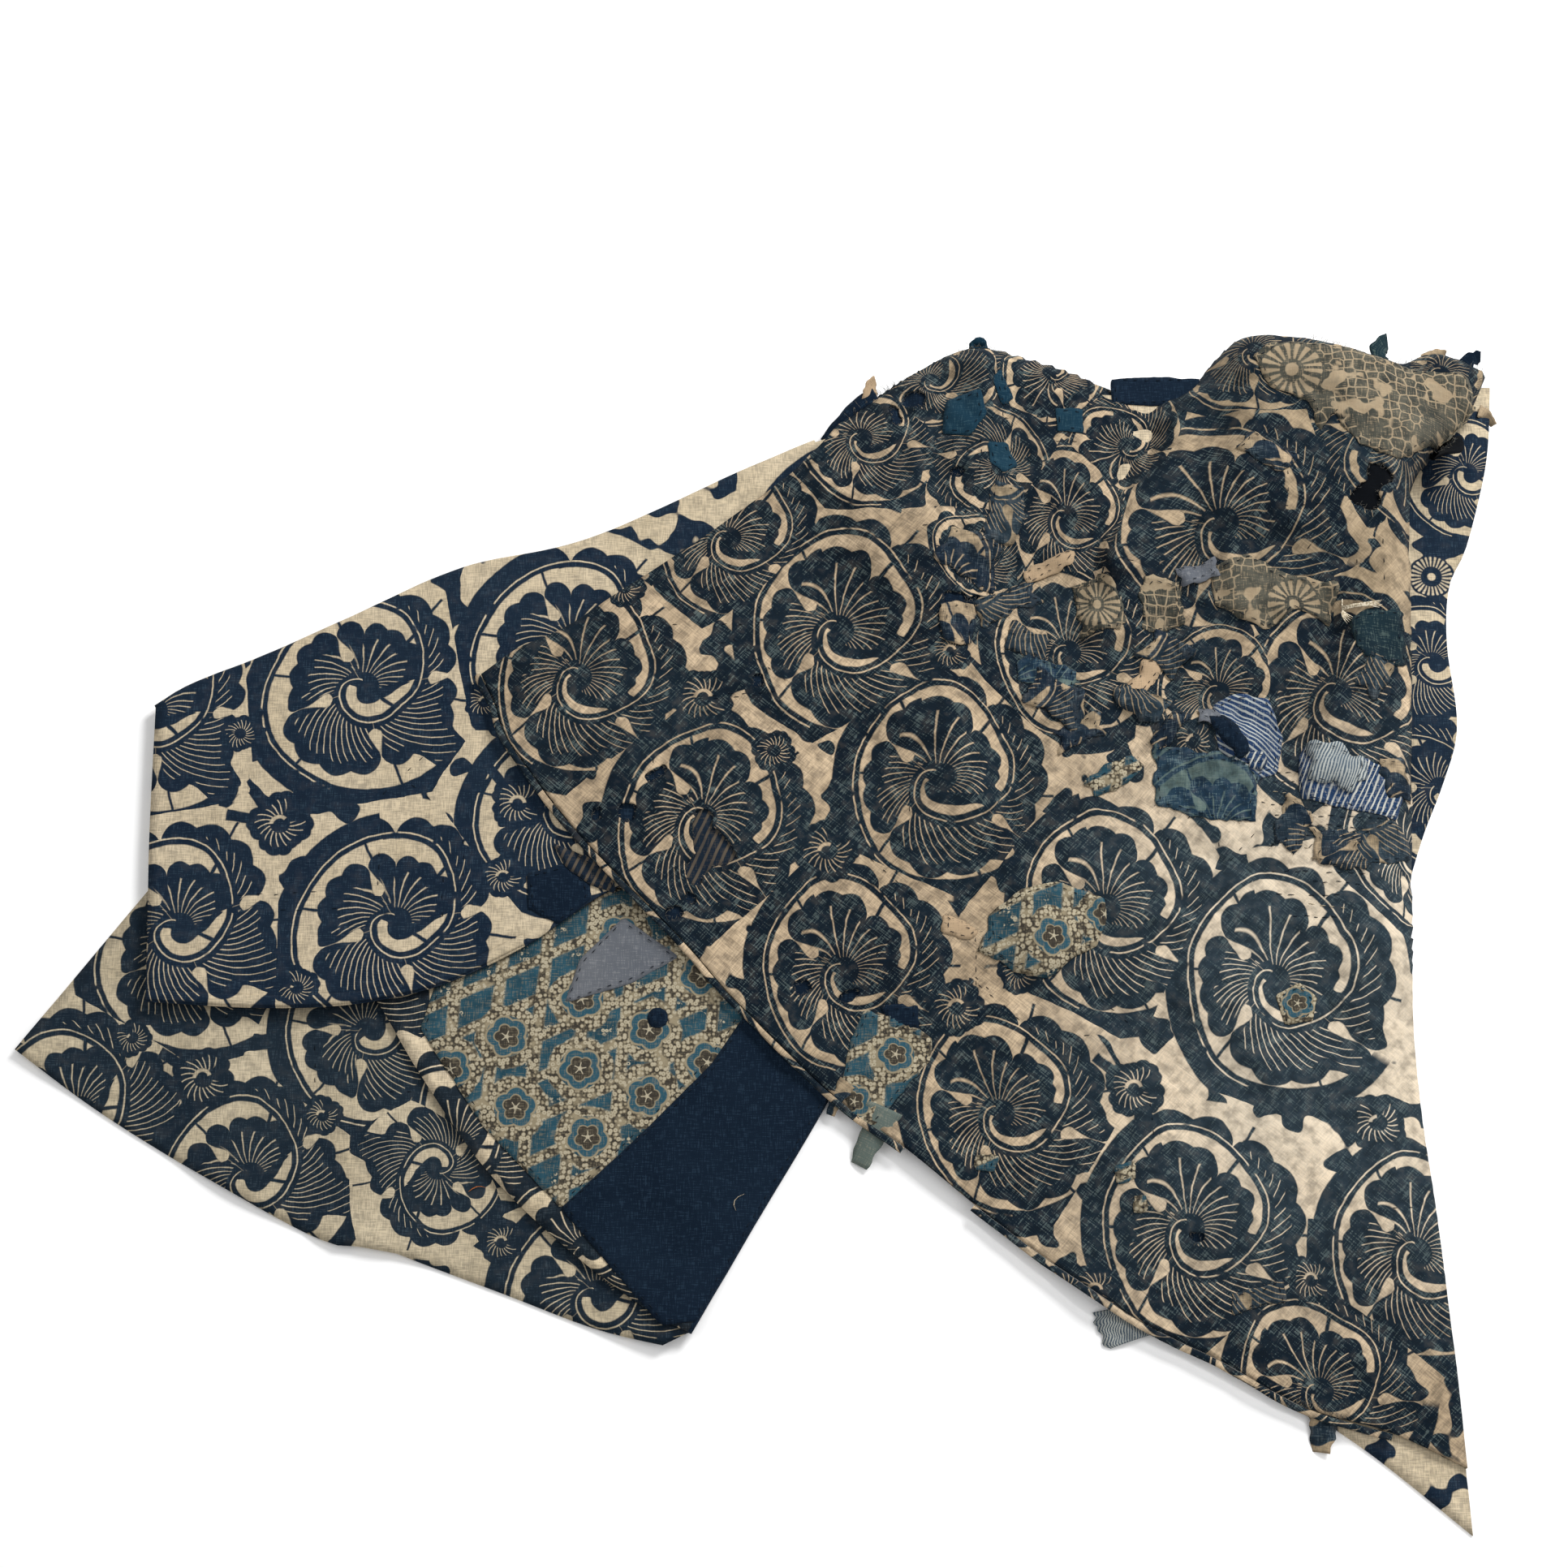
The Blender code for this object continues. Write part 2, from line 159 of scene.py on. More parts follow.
TOP_FAR_EDGE = [
    (46, 290), (101, 331), (147, 351), (199, 338), (253, 318), (285, 309), (312, 318), (330, 340),
    (356, 357), (410, 351), (464, 336), (501, 346), (538, 330),
]
TOP_RIGHT_EDGE = [
    (457, -79), (461, -10), (465, 60), (469, 149), (472, 225), (494, 262), (519, 290), (538, 330),
]

TOP_PLACES = [
    Place("left corner", -215, 80, 15.0, 60),
    Place("over the folded stack", -90, 40, 16.5, 90),
    Place("lower left edge", -30, -165, 12.0, 55),
    Place("lower edge", 120, -305, 10.0, 60),
    Place("lower edge by the tip", 330, -440, 9.0, 60),
    Place("tip", 470, -505, 4.5, 60),
    Place("lower right fold", 455, -240, 6.0, 50),
    Place("lower middle", 300, -220, 15.0, 90),
    Place("middle", 180, -40, 20.0, 90),
    Place("right middle", 390, -30, 24.0, 80),
    Place("upper left crease", -60, 180, 15.0, 45),
    Place("left shoulder", 150, 250, 26.0, 60),
    Place("head of the valley", 285, 280, 9.0, 35),
    Place("foot of the valley", 240, 130, 17.0, 60),
    Place("hood", 410, 240, 50.0, 60),
    Place("below the hood", 390, 110, 34.0, 60),
    Place("right fold", 455, 80, 26.0, 50),
    Place("hood corner", 525, 310, 30.0, 35),
]

TOP_CREASES = [
    Crease("hood lip", (318, 300), (262, 170), 16.0, 20.0, (-9.0, -3.0)),
    Crease("hood foot", (262, 170), (246, 120), 9.0, 18.0, (-4.0, 0.0)),
    Crease("hood middle fold", (430, 300), (400, 150), 6.0, 26.0, (0.0, 0.0)),
    Crease("shoulder seam", (150, 335), (146, 180), 7.0, 14.0, (3.0, 0.0)),
    Crease("long ridge", (105, 200), (130, -20), 8.0, 20.0, (4.0, 0.0)),
    Crease("long ridge foot", (130, -20), (185, -130), 6.0, 22.0, (3.0, 0.0)),
    Crease("short ridge", (60, 230), (85, 120), 5.0, 16.0, (0.0, 0.0)),
    Crease("deep trough", (410, 115), (362, 10), -12.0, 15.0, (0.0, 0.0)),
    Crease("trough edge", (436, 110), (392, -10), 7.0, 15.0, (-4.0, 0.0)),
    Crease("cross wrinkle", (230, 60), (345, 10), 6.0, 15.0, (0.0, 3.0)),
    Crease("lower cross wrinkle", (140, -150), (270, -200), -5.0, 22.0, (0.0, 0.0)),
    Crease("diagonal ridge", (200, -60), (330, -170), 6.0, 26.0, (0.0, 0.0)),
    Crease("lower ridge", (230, -290), (360, -360), 5.0, 30.0, (0.0, 0.0)),
    Crease("right hand ridge", (420, -60), (430, -330), 5.0, 22.0, (0.0, 0.0)),
    Crease("left swell", (-150, 60), (-20, -60), 3.0, 45.0, (0.0, 0.0)),
    Crease("tip pinch", (400, -425), (455, -470), 5.0, 16.0, (0.0, 0.0)),
]

STACK_LIFTS = [
    Place("low tip", -72, -424, 7.0, 45),
    Place("low notch", -292, -356, 5.0, 26),
    Place("low hem", -395, -312, 3.5, 34),
    Place("low corner", -556, -208, 4.0, 40),
]
UNDER_LIFTS = [
    Place("right strip top", 520, 280, 7.0, 45),
    Place("right strip middle", 497, 60, 6.0, 50),
    Place("upper hem", -300, -176, 2.0, 50),
    Place("upper corner", -462, -175, 1.5, 40),
]

# Small folds that only the visible sheet has, on the top leaf
TOP_WRINKLES = [
    Crease("beside the shoulder seam", (120, 318), (112, 215), -3.0, 8.0, (0.0, 0.0)),
    Crease("across the shoulder", (165, 205), (215, 165), 3.5, 9.0, (0.0, 0.0)),
    Crease("across the valley", (195, 245), (255, 225), 2.5, 9.0, (0.0, 0.0)),
    Crease("foot of the lip", (225, 118), (300, 95), 3.5, 9.0, (0.0, 0.0)),
    Crease("under the hood", (300, 150), (395, 118), 4.0, 10.0, (0.0, 0.0)),
    Crease("hood cross fold", (345, 185), (415, 160), -3.0, 9.0, (0.0, 0.0)),
    Crease("hood upper fold", (340, 320), (420, 300), 3.0, 10.0, (0.0, 0.0)),
    Crease("mended band", (330, 25), (448, -20), 3.0, 10.0, (0.0, 0.0)),
    Crease("below the mended band", (300, -60), (440, -95), -2.5, 12.0, (0.0, 0.0)),
    Crease("middle pucker", (60, 60), (120, 30), 3.0, 11.0, (0.0, 0.0)),
    Crease("left pucker", (-70, -70), (-10, -100), -2.0, 14.0, (0.0, 0.0)),
    Crease("left long fold", (-120, 130), (0, 60), 2.0, 15.0, (0.0, 0.0)),
    Crease("lower pucker", (180, -150), (230, -205), 3.5, 12.0, (0.0, 0.0)),
    Crease("lower right fold line", (330, -200), (390, -300), 3.0, 14.0, (0.0, 0.0)),
    Crease("low long fold", (80, -215), (190, -310), 2.5, 14.0, (0.0, 0.0)),
    Crease("seam near the tip", (300, -385), (350, -440), 3.0, 8.0, (0.0, 0.0)),
    Crease("tip fold", (425, -395), (462, -440), 3.0, 12.0, (0.0, 0.0)),
]


def ease_in(value: float, low: float, high: float) -> float:
    """Rise smoothly from 0 at low to 1 at high.

    Args:
        value: Where to read the rise.
        low: The end of the flat part at 0.
        high: The start of the flat part at 1.

    Returns:
        A share from 0 to 1.
    """
    t = min(1.0, max(0.0, (value - low) / (high - low)))
    return t * t * (3 - 2 * t)


def smooth_line(points: Sequence[PlanPoint], steps: int = 12) -> list[Vector]:
    """Draw a fine line that passes smoothly through some plan places.

    Args:
        points: The places, in order.
        steps: How many short pieces stand between two places.

    Returns:
        The line's points, at height 0.
    """
    if len(points) < 3:
        return [Vector((x, y, 0)) for x, y in points]
    ends = [points[0]] + list(points) + [points[-1]]
    line = []
    for i in range(1, len(ends) - 2):
        a, b, c, d = (Vector((*ends[i + k], 0)) for k in (-1, 0, 1, 2))
        for step in range(steps):
            t = step / steps
            line.append(0.5 * (2 * b + (c - a) * t + (2 * a - 5 * b + 4 * c - d) * t * t
                               + (3 * b - a - 3 * c + d) * t ** 3))
    line.append(Vector((*points[-1], 0)))
    return line


def split_line(points: Sequence[PlanPoint], cells: int, ease: float = 0.0) -> list[Vector]:
    """Cut a smooth line into cells of equal length.

    Args:
        points: The places that the line passes through.
        cells: How many cells to cut.
        ease: How strongly the last cuts draw towards the line's end.

    Returns:
        The ends of the cells.
    """
    line = smooth_line(points)
    lengths = [0.0]
    for a, b in zip(line, line[1:]):
        lengths.append(lengths[-1] + (b - a).length)
    cuts = []
    i = 0
    for k in range(cells + 1):
        share = k / cells
        share += ease * share ** 6 * (1 - share)
        wanted = share * lengths[-1]
        while i < len(lengths) - 2 and lengths[i + 1] < wanted:
            i += 1
        part = (wanted - lengths[i]) / (lengths[i + 1] - lengths[i])
        cuts.append(line[i].lerp(line[i + 1], part))
    return cuts


def join_runs(*runs: list[Vector]) -> list[Vector]:
    """Join cut lines that follow on from each other."""
    joined = list(runs[0])
    for run in runs[1:]:
        joined += run[1:]
    return joined


def fill_sides(near: list[Vector], far: list[Vector], left: list[Vector],
               right: list[Vector]) -> list[list[Vector]]:
    """Fill four sides with a grid of plan places.

    Args:
        near: The side nearest the viewer, from left to right.
        far: The side opposite it.
        left: The left side, from near to far.
        right: The right side.

    Returns:
        Rows of places, from the near side to the far one.
    """
    columns = len(near) - 1
    rows = len(left) - 1
    grid = []
    for j in range(rows + 1):
        v = j / rows
        row = []
        for i in range(columns + 1):
            u = i / columns
            ruled = near[i].lerp(far[i], v) + left[j].lerp(right[j], u)
            corners = near[0].lerp(near[-1], u).lerp(far[0].lerp(far[-1], u), v)
            row.append(ruled - corners)
        grid.append(row)
    return grid


def distance_to_run(x: float, y: float, start: PlanPoint, end: PlanPoint) -> float:
    """Measure the distance in plan from a place to a straight run."""
    run_x, run_y = end[0] - start[0], end[1] - start[1]
    off_x, off_y = x - start[0], y - start[1]
    t = (off_x * run_x + off_y * run_y) / (run_x * run_x + run_y * run_y)
    t = min(1.0, max(0.0, t))
    return math.hypot(off_x - run_x * t, off_y - run_y * t)


def lifts_at(place: Vector, lifts: Sequence[Place]) -> float:
    """Add up the height that some lifts give a place; each ends at twice its spread."""
    height = 0.0
    for lift in lifts:
        share = ((place.x - lift.x) ** 2 + (place.y - lift.y) ** 2) / (2 * lift.spread) ** 2
        height += lift.height * max(0.0, 1.0 - share) ** 3
    return height


def blended_height(place: Vector, places: Sequence[Place]) -> float:
    """Blend the heights of named places, each weighted by its nearness."""
    total = 0.0
    height = 0.0
    for known in places:
        square = (place.x - known.x) ** 2 + (place.y - known.y) ** 2
        weight = math.exp(-square / known.spread ** 2) + 1e-5
        total += weight
        height += weight * known.height
    return height / total


def signed_side(place: Vector, start: PlanPoint, end: PlanPoint) -> float:
    """Measure how far a place lies to the right of a line, in plan."""
    length = math.hypot(end[0] - start[0], end[1] - start[1])
    along_x, along_y = (end[0] - start[0]) / length, (end[1] - start[1]) / length
    return (place.x - start[0]) * along_y - (place.y - start[1]) * along_x


def ripple(place: Vector, length: float, seed: float, across: float = 1.0) -> float:
    """Read a smooth random wave from -1 to 1.

    Args:
        place: The place in plan.
        length: The wave's length in millimetres.
        seed: A number that tells one wave field from another.
        across: How many times longer the waves are across the sheet than along it.

    Returns:
        The wave's height there.
    """
    return noise.noise(Vector((place.x / length / across, place.y / length, seed)))


def creased(place: Vector, length: float, seed: float) -> float:
    """Read a field of sharp little creases, 1 on a crease and about -0.5 between creases."""
    warped = place + Vector((ripple(place, 60, seed + 7), ripple(place, 60, seed + 9), 0)) * 12
    return 1.0 - 3.0 * abs(ripple(warped, length, seed))


class LeafName(Enum):
    """The four layers of the folded cloth, from the surface up."""

    LOW = 0
    BACK = 1
    UNDER = 2
    TOP = 3


# The fold beside the indigo panel takes the finish after those of the four leaves
INDIGO_INDEX = 4


@dataclass
class Leaf:
    """One layer of the cloth: a grid of flat places, and the surface that they are lifted to."""

    name: LeafName
    flat: list[list[Vector]]
    surface: Callable[[Vector], Vector]

    def point(self, place: Vector) -> Vector:
        """Lift a flat place to the middle of the sheet, in plan millimetres."""
        return self.surface(place)

    def normal(self, place: Vector) -> Vector:
        """Find which way the sheet faces at a flat place, on its upper side."""
        here = self.surface(place)
        right = self.surface(place + Vector((1.5, 0, 0))) - here
        away = self.surface(place + Vector((0, 1.5, 0))) - here
        facing = right.cross(away)
        return facing.normalized() if facing.z > 0 else -facing.normalized()

    def raised(self, place: Vector, lift: float) -> Vector:
        """Find the point a lift above the middle of the sheet, in plan millimetres."""
        return self.surface(place) + self.normal(place) * lift


@dataclass
class ClothShape:
    """The plan outlines and folds of the four leaves, at the visible sheet's fineness."""

    band_cells: int = 60
    under_cells: int = 40
    low_cells: tuple[int, int, int] = (22, 4, 16)
    back_cells: int = 44
    tip_cells: int = 4
    joined_cells: int = 46
    upper_cells: int = 40
    top_cells: int = 160
    top_per_under: int = 2

    def __post_init__(self) -> None:
        """Make the search tree of the rims that turn down."""
        lines = [smooth_line(edge) for edge in (TOP_FAR_EDGE, TOP_RIGHT_EDGE, LOWER_RIGHT_FOLD)]
        places = [place for line in lines for place in line]
        self.rim = KDTree(len(places))
        for index, place in enumerate(places):
            self.rim.insert(place, index)
        self.rim.balance()

    def low_point(self, place: Vector) -> Vector:
        """Lift a place to the low leaf."""
        height = LOW_LEVEL + lifts_at(place, STACK_LIFTS) + 0.3 + 0.3 * ripple(place, 45, 1.3)
        pleat = distance_to_run(place.x, place.y, (-322, -346), (-268, -290)) / 7.0
        height += 3.4 * math.exp(-pleat * pleat)
        return Vector((place.x, place.y, height))

    def back_point(self, place: Vector) -> Vector:
        """Lift a place to the back leaf."""
        height = BACK_LEVEL + lifts_at(place, STACK_LIFTS)
        height += 0.5 * ripple(place, 60, 4.1) + 0.25 * creased(place, 30, 2.7)
        return Vector((place.x, place.y, height))

    def under_point(self, place: Vector) -> Vector:
        """Lift a place to the under leaf: on the stack at the left, on the surface at the right."""
        past_fold = signed_side(place, RIGHT_FOLD[2], RIGHT_FOLD[-1])
        on_stack = 1.0 - ease_in(past_fold, 14.0, 75.0)
        level = LOW_LEVEL + (UPPER_LEVEL - LOW_LEVEL) * on_stack
        fine = 0.55 * ripple(place, 70, 5.2) + 0.22 * creased(place, 36, 6.4) + 0.2
        return Vector((place.x, place.y, level + lifts_at(place, UNDER_LIFTS) + fine))

    def top_point(self, place: Vector) -> Vector:
        """Lift a place to the top leaf: named heights, creases, wrinkles, then the rims."""
        height = blended_height(place, TOP_PLACES)
        shift_x = shift_y = 0.0
        for crease in TOP_CREASES:
            away = distance_to_run(place.x, place.y, crease.start, crease.end) / crease.width
            if away < 3.2:
                near = math.exp(-away * away)
                height += crease.height * near
                shift_x += crease.lean[0] * near
                shift_y += crease.lean[1] * near
        height += self.wrinkles(place)
        from_rim = self.rim.find((place.x, place.y, 0.0))[2]
        roll = min(1.0, from_rim / RIM_ROLL)
        rise = math.sqrt(1.0 - (1.0 - roll) ** 2)
        height = RIM_LEVEL + (height - RIM_LEVEL) * rise
        return Vector((place.x + shift_x * rise, place.y + shift_y * rise, height))

    def wrinkles(self, place: Vector) -> float:
        """Add up the small folds of the top leaf, which are stronger on its worn right side."""
        worn = 0.55 + 1.15 * ease_in(place.x + 0.35 * place.y, 40, 300)
        worn *= 0.45 + 0.55 * ease_in(place.y, -430, -150)
        height = worn * (1.7 * ripple(place, 46, 0.4) + 1.5 * creased(place, 38, 3.1))
        height += worn * (1.0 * ripple(place, 17, 8.6) + 0.7 * creased(place, 16, 12.8))
        height += 2.4 * ripple(place, 80, 5.5, 0.6)
        for crease in TOP_WRINKLES:
            away = distance_to_run(place.x, place.y, crease.start, crease.end) / crease.width
            if away < 3.0:
                height += crease.height * math.exp(-away * away)
        return height

    def leaves(self) -> dict[LeafName, Leaf]:
        """Make the four leaves."""
        band = self.band_cells
        low_near = join_runs(*(split_line(run, n) for run, n in zip(LOW_HEM, self.low_cells)))
        low_far = join_runs(*(split_line(run, n) for run, n in zip(LOW_FAR_EDGE, self.low_cells)))
        right_fold = split_line(RIGHT_FOLD, band)
        low_near[-1] = right_fold[0]
        low = fill_sides(low_near, low_far, split_line(LOW_FREE_EDGE, band), right_fold)
        back_near = split_line(BACK_HEM, self.back_cells)
        back_near[0] = right_fold[0]
        back = fill_sides(back_near, split_line(BACK_FAR_EDGE, self.back_cells), right_fold,
                          split_line(UPPER_FOLD, band))
        under_near = join_runs(split_line(UPPER_HEM, band), split_line(UNDER_HEM, self.under_cells))
        under_far = join_runs(split_line(UPPER_FOLD, band),
                              split_line(UNDER_TOP_EDGE, self.under_cells))
        rows = self.tip_cells + self.joined_cells + self.upper_cells
        under_right = join_runs(split_line(LOOSE_TIP, self.tip_cells),
                                split_line(LOWER_RIGHT_FOLD, self.joined_cells),
                                split_line(UNDER_RIGHT_EDGE, self.upper_cells))
        under = fill_sides(under_near, under_far, split_line(UNDER_LEFT_EDGE, rows), under_right)
        top_rows = self.top_per_under * (self.joined_cells + self.upper_cells)
        top_right = join_runs(split_line(LOWER_RIGHT_FOLD, self.top_per_under * self.joined_cells),
                              split_line(TOP_RIGHT_EDGE, self.top_per_under * self.upper_cells, 0.5))
        top = fill_sides(split_line(TOP_LOWER_EDGE, self.top_cells),
                         split_line(TOP_FAR_EDGE, self.top_cells),
                         split_line(TOP_LEFT_EDGE, top_rows, 0.5), top_right)
        made = [Leaf(LeafName.LOW, low, self.low_point), Leaf(LeafName.BACK, back, self.back_point),
                Leaf(LeafName.UNDER, under, self.under_point), Leaf(LeafName.TOP, top, self.top_point)]
        return {leaf.name: leaf for leaf in made}


def srgb(code: str) -> tuple[float, float, float, float]:
    """Turn an sRGB hex colour into the linear colour that a shader takes."""
    parts = [int(code[i:i + 2], 16) / 255 for i in (1, 3, 5)]
    linear = [c / 12.92 if c <= 0.04045 else ((c + 0.055) / 1.055) ** 2.4 for c in parts]
    return (*linear, 1.0)


class Field:
    """A number, vector or colour that varies over a surface, as one node gives it."""

    def __init__(self, tree: bpy.types.NodeTree, socket: bpy.types.NodeSocket) -> None:
        """Keep the node tree and the output socket."""
        self.tree = tree
        self.socket = socket

    def math(self, operation: str, *others: Amount, clamp: bool = False) -> Field:
        """Combine this field with others by one of the Math node's operations."""
        inputs = {0: self, **{i + 1: other for i, other in enumerate(others)}}
        return add_node(self.tree, "ShaderNodeMath", inputs, operation=operation, use_clamp=clamp)

    def __add__(self, other: Amount) -> Field:
        """Add."""
        return self.math("ADD", other)

    def __radd__(self, other: Amount) -> Field:
        """Add."""
        return self.math("ADD", other)

    def __sub__(self, other: Amount) -> Field:
        """Take away."""
        return self.math("SUBTRACT", other)

    def __rsub__(self, other: Amount) -> Field:
        """Take this field away from a number."""
        return self.math("MULTIPLY_ADD", -1.0, other)

    def __mul__(self, other: Amount) -> Field:
        """Multiply."""
        return self.math("MULTIPLY", other)

    def __rmul__(self, other: Amount) -> Field:
        """Multiply."""
        return self.math("MULTIPLY", other)

    def __truediv__(self, other: Amount) -> Field:
        """Divide."""
        return self.math("DIVIDE", other)

    def __and__(self, other: Amount) -> Field:
        """Keep what both masks hold."""
        return self.math("MINIMUM", other)

    def __or__(self, other: Amount) -> Field:
        """Keep what either mask holds."""
        return self.math("MAXIMUM", other)

    def __invert__(self) -> Field:
        """Turn a mask inside out."""
        return self.math("MULTIPLY_ADD", -1.0, 1.0)

    def mask(self, softness: float) -> Field:
        """Give 1 where the field is above 0 and 0 where it is below, with a soft step between."""
        return self.math("MULTIPLY_ADD", 1.0 / softness, 0.5, clamp=True)

    def follow(self, points: Sequence[tuple[float, float]], top: float) -> Field:
        """Read a smooth curve of values from 0 to top at this field's place from 0 to 1."""
        found = add_node(self.tree, "ShaderNodeFloatCurve", {1: self})
        mapping = found.socket.node.mapping
        curve = mapping.curves[0]
        for x, y in points[1:-1]:
            curve.points.new(x, y / top)
        ordered = sorted(curve.points, key=lambda point: point.location[0])
        ordered[0].location = (points[0][0], points[0][1] / top)
        ordered[-1].location = (points[-1][0], points[-1][1] / top)
        mapping.update()
        return found * top


Amount = Union[Field, float]


def add_node(tree: bpy.types.NodeTree, kind: str, inputs: Optional[dict] = None, output: int = 0,
             **settings: object) -> Field:
    """Add a shader node with its settings and links.

    Args:
        tree: The material's node tree.
        kind: The node's type name.
        inputs: What each input takes, by its number or name: a field to link, or a value.
        output: The number of the output that the result reads.
        **settings: The node's own properties.

    Returns:
        The chosen output as a field.
    """
    node = tree.nodes.new(kind)
    for name, value in settings.items():
        setattr(node, name, value)
    for key, value in (inputs or {}).items():
        if isinstance(value, Field):
            tree.links.new(value.socket, node.inputs[key])
        else:
            node.inputs[key].default_value = value
    return Field(tree, node.outputs[output])


def mixed(share: Field, without: Union[Field, str], with_it: Union[Field, str]) -> Field:
    """Mix two colours, each a field or an sRGB hex code, by a share from 0 to 1."""
    colours = [srgb(c) if isinstance(c, str) else c for c in (without, with_it)]
    return add_node(share.tree, "ShaderNodeMix", {0: share, 6: colours[0], 7: colours[1]}, 2,
                    data_type="RGBA")


def cloudy(place: Field, length: float, detail: float = 2.0, stretch: PlanPoint = (1, 1)) -> Field:
    """Read a random field from 0 to 1 whose spots are about a length across, in millimetres."""
    scaled = add_node(place.tree, "ShaderNodeVectorMath",
                      {0: place, 1: (1 / (length * stretch[0]), 1 / (length * stretch[1]), 1)},
                      operation="MULTIPLY")
    return add_node(place.tree, "ShaderNodeTexNoise", {"Vector": scaled, "Scale": 1.0,
                                                       "Detail": detail}, 0)


def flat_place(tree: bpy.types.NodeTree, wander: float) -> Field:
    """Read the place on the flat cloth in millimetres, with the unevenness of hand printing."""
    flat = add_node(tree, "ShaderNodeUVMap", uv_map=FLAT_UV)
    place = add_node(tree, "ShaderNodeVectorMath", {0: flat, "Scale": 1 / MM}, operation="SCALE")
    if wander == 0:
        return place
    for length, reach in ((70.0, 2.6 * wander), (9.0, 0.8 * wander)):
        fine = add_node(tree, "ShaderNodeVectorMath", {0: place, "Scale": 1 / length}, operation="SCALE")
        cloud = add_node(tree, "ShaderNodeTexNoise", {"Vector": fine, "Scale": 1.0}, 1)
        pushed = add_node(tree, "ShaderNodeVectorMath", {0: cloud, 1: (0.5, 0.5, 0.5)},
                          operation="SUBTRACT")
        place = add_node(tree, "ShaderNodeVectorMath",
                         {0: pushed, 1: (2 * reach, 2 * reach, 0), 2: place}, operation="MULTIPLY_ADD")
    return place


def nearest_motif(place: Field, motifs: Sequence[Motif],
                  middle: PlanPoint = (0.0, 0.0)) -> tuple[Field, Field, Field]:
    """Find the nearest motif, measured in motif sizes.

    Args:
        place: The place on the flat cloth, in millimetres.
        motifs: The printed motifs.
        middle: The middle of a motif's outline seen from its centre, in motif sizes.

    Returns:
        The place seen from the motif's centre in motif sizes, its distance and the motif's turn.
    """
    tree = place.tree
    best = reach = turn = None
    for motif in motifs:
        share = 1 / motif.size
        seen = add_node(tree, "ShaderNodeVectorMath",
                        {0: place, 1: (share, share, 0),
                         2: (-motif.x * share - middle[0], -motif.y * share - middle[1], 0)},
                        operation="MULTIPLY_ADD")
        away = add_node(tree, "ShaderNodeVectorMath", {0: seen}, 1, operation="LENGTH")
        turned = motif.turn * TURNS_PER_DEGREE
        if best is None:
            best, reach, turn = seen, away, away * 0.0 + turned
            continue
        closer = away.math("LESS_THAN", reach)
        best = add_node(tree, "ShaderNodeMix", {0: closer, 4: best, 5: seen}, 1, data_type="VECTOR")
        turn = add_node(tree, "ShaderNodeMix", {0: closer, 2: turn, 3: turned}, 0)
        reach = reach.math("MINIMUM", away)
    if middle == (0.0, 0.0):
        return best, reach, turn
    seen = add_node(tree, "ShaderNodeVectorMath", {0: best, 1: (*middle, 0)}, operation="ADD")
    return seen, add_node(tree, "ShaderNodeVectorMath", {0: seen}, 1, operation="LENGTH"), turn


def turns_round(seen: Field) -> Field:
    """Read the direction of a place seen from a centre, in turns from the right hand side."""
    parts = add_node(seen.tree, "ShaderNodeSeparateXYZ", {0: seen})
    across = Field(seen.tree, parts.socket.node.outputs[1])
    return across.math("ARCTAN2", parts) * (0.5 / math.pi)


@dataclass(frozen=True)
class Weave:
    """The threads of plain-woven cotton, drawn at twice their real spacing so that they show.

    Handspun threads are uneven, so the eye sees short dark and pale streaks that cross.
    """

    spacing: float = 0.85
    slub: float = 10.0
    wrinkle: float = 9.0
    angle: float = 0.0

    def threads(self, place: Field) -> Field:
        """Read the crossed streaks of the two sets of threads, from 0 to 1."""
        if self.angle:
            place = add_node(place.tree, "ShaderNodeVectorRotate",
                             {"Vector": place, "Angle": math.radians(self.angle)},
                             rotation_type="Z_AXIS")
        warp = cloudy(place, self.spacing, 1.0, (1.0, self.slub))
        weft = cloudy(place, self.spacing, 1.0, (self.slub, 1.0))
        return (warp + weft) * 0.5

    def creased(self, place: Field, colour: Field, strength: float) -> Field:
        """Paint shade into the hollows of the small wrinkles, and a painted highlight onto their tops."""
        wrinkles = cloudy(place, self.wrinkle, 3.0)
        # painted shade: the wrinkle hollows are darkened towards near-black
        colour = mixed((0.46 - wrinkles).mask(0.2) * strength, colour, "#101418")
        # painted highlight: the wrinkle tops are paled
        return mixed((wrinkles - 0.60).mask(0.2) * (0.12 * strength), colour, "#b8a68c")

    def relief(self, place: Field, threads: Field, strength: float) -> Field:
        """Make the bump that the threads and the small wrinkles give."""
        wrinkles = cloudy(place, self.wrinkle, 3.0)
        height = threads * 0.35 + wrinkles
        return add_node(place.tree, "ShaderNodeBump",
                        {"Strength": strength, "Distance": 1.4 * MM, "Height": height})


def dress_cotton(material: bpy.types.Material, colour: Field, bump: Field) -> None:
    """Give a material the dull surface of washed cotton, with the faint sheen of loose fibres."""
    tree = material.node_tree
    shader = tree.nodes["Principled BSDF"]
    tree.links.new(colour.socket, shader.inputs["Base Color"])
    tree.links.new(bump.socket, shader.inputs["Normal"])
    shader.inputs["Roughness"].default_value = 0.92
    shader.inputs["Metallic"].default_value = 0.0
    shader.inputs["IOR"].default_value = 1.45
    shader.inputs["Specular IOR Level"].default_value = 0.06
    shader.inputs["Sheen Weight"].default_value = 0.02
    shader.inputs["Sheen Roughness"].default_value = 0.6


def new_material(name: str) -> bpy.types.Material:
    """Start a node material."""
    material = bpy.data.materials.new(name)
    material.use_nodes = True
    return material


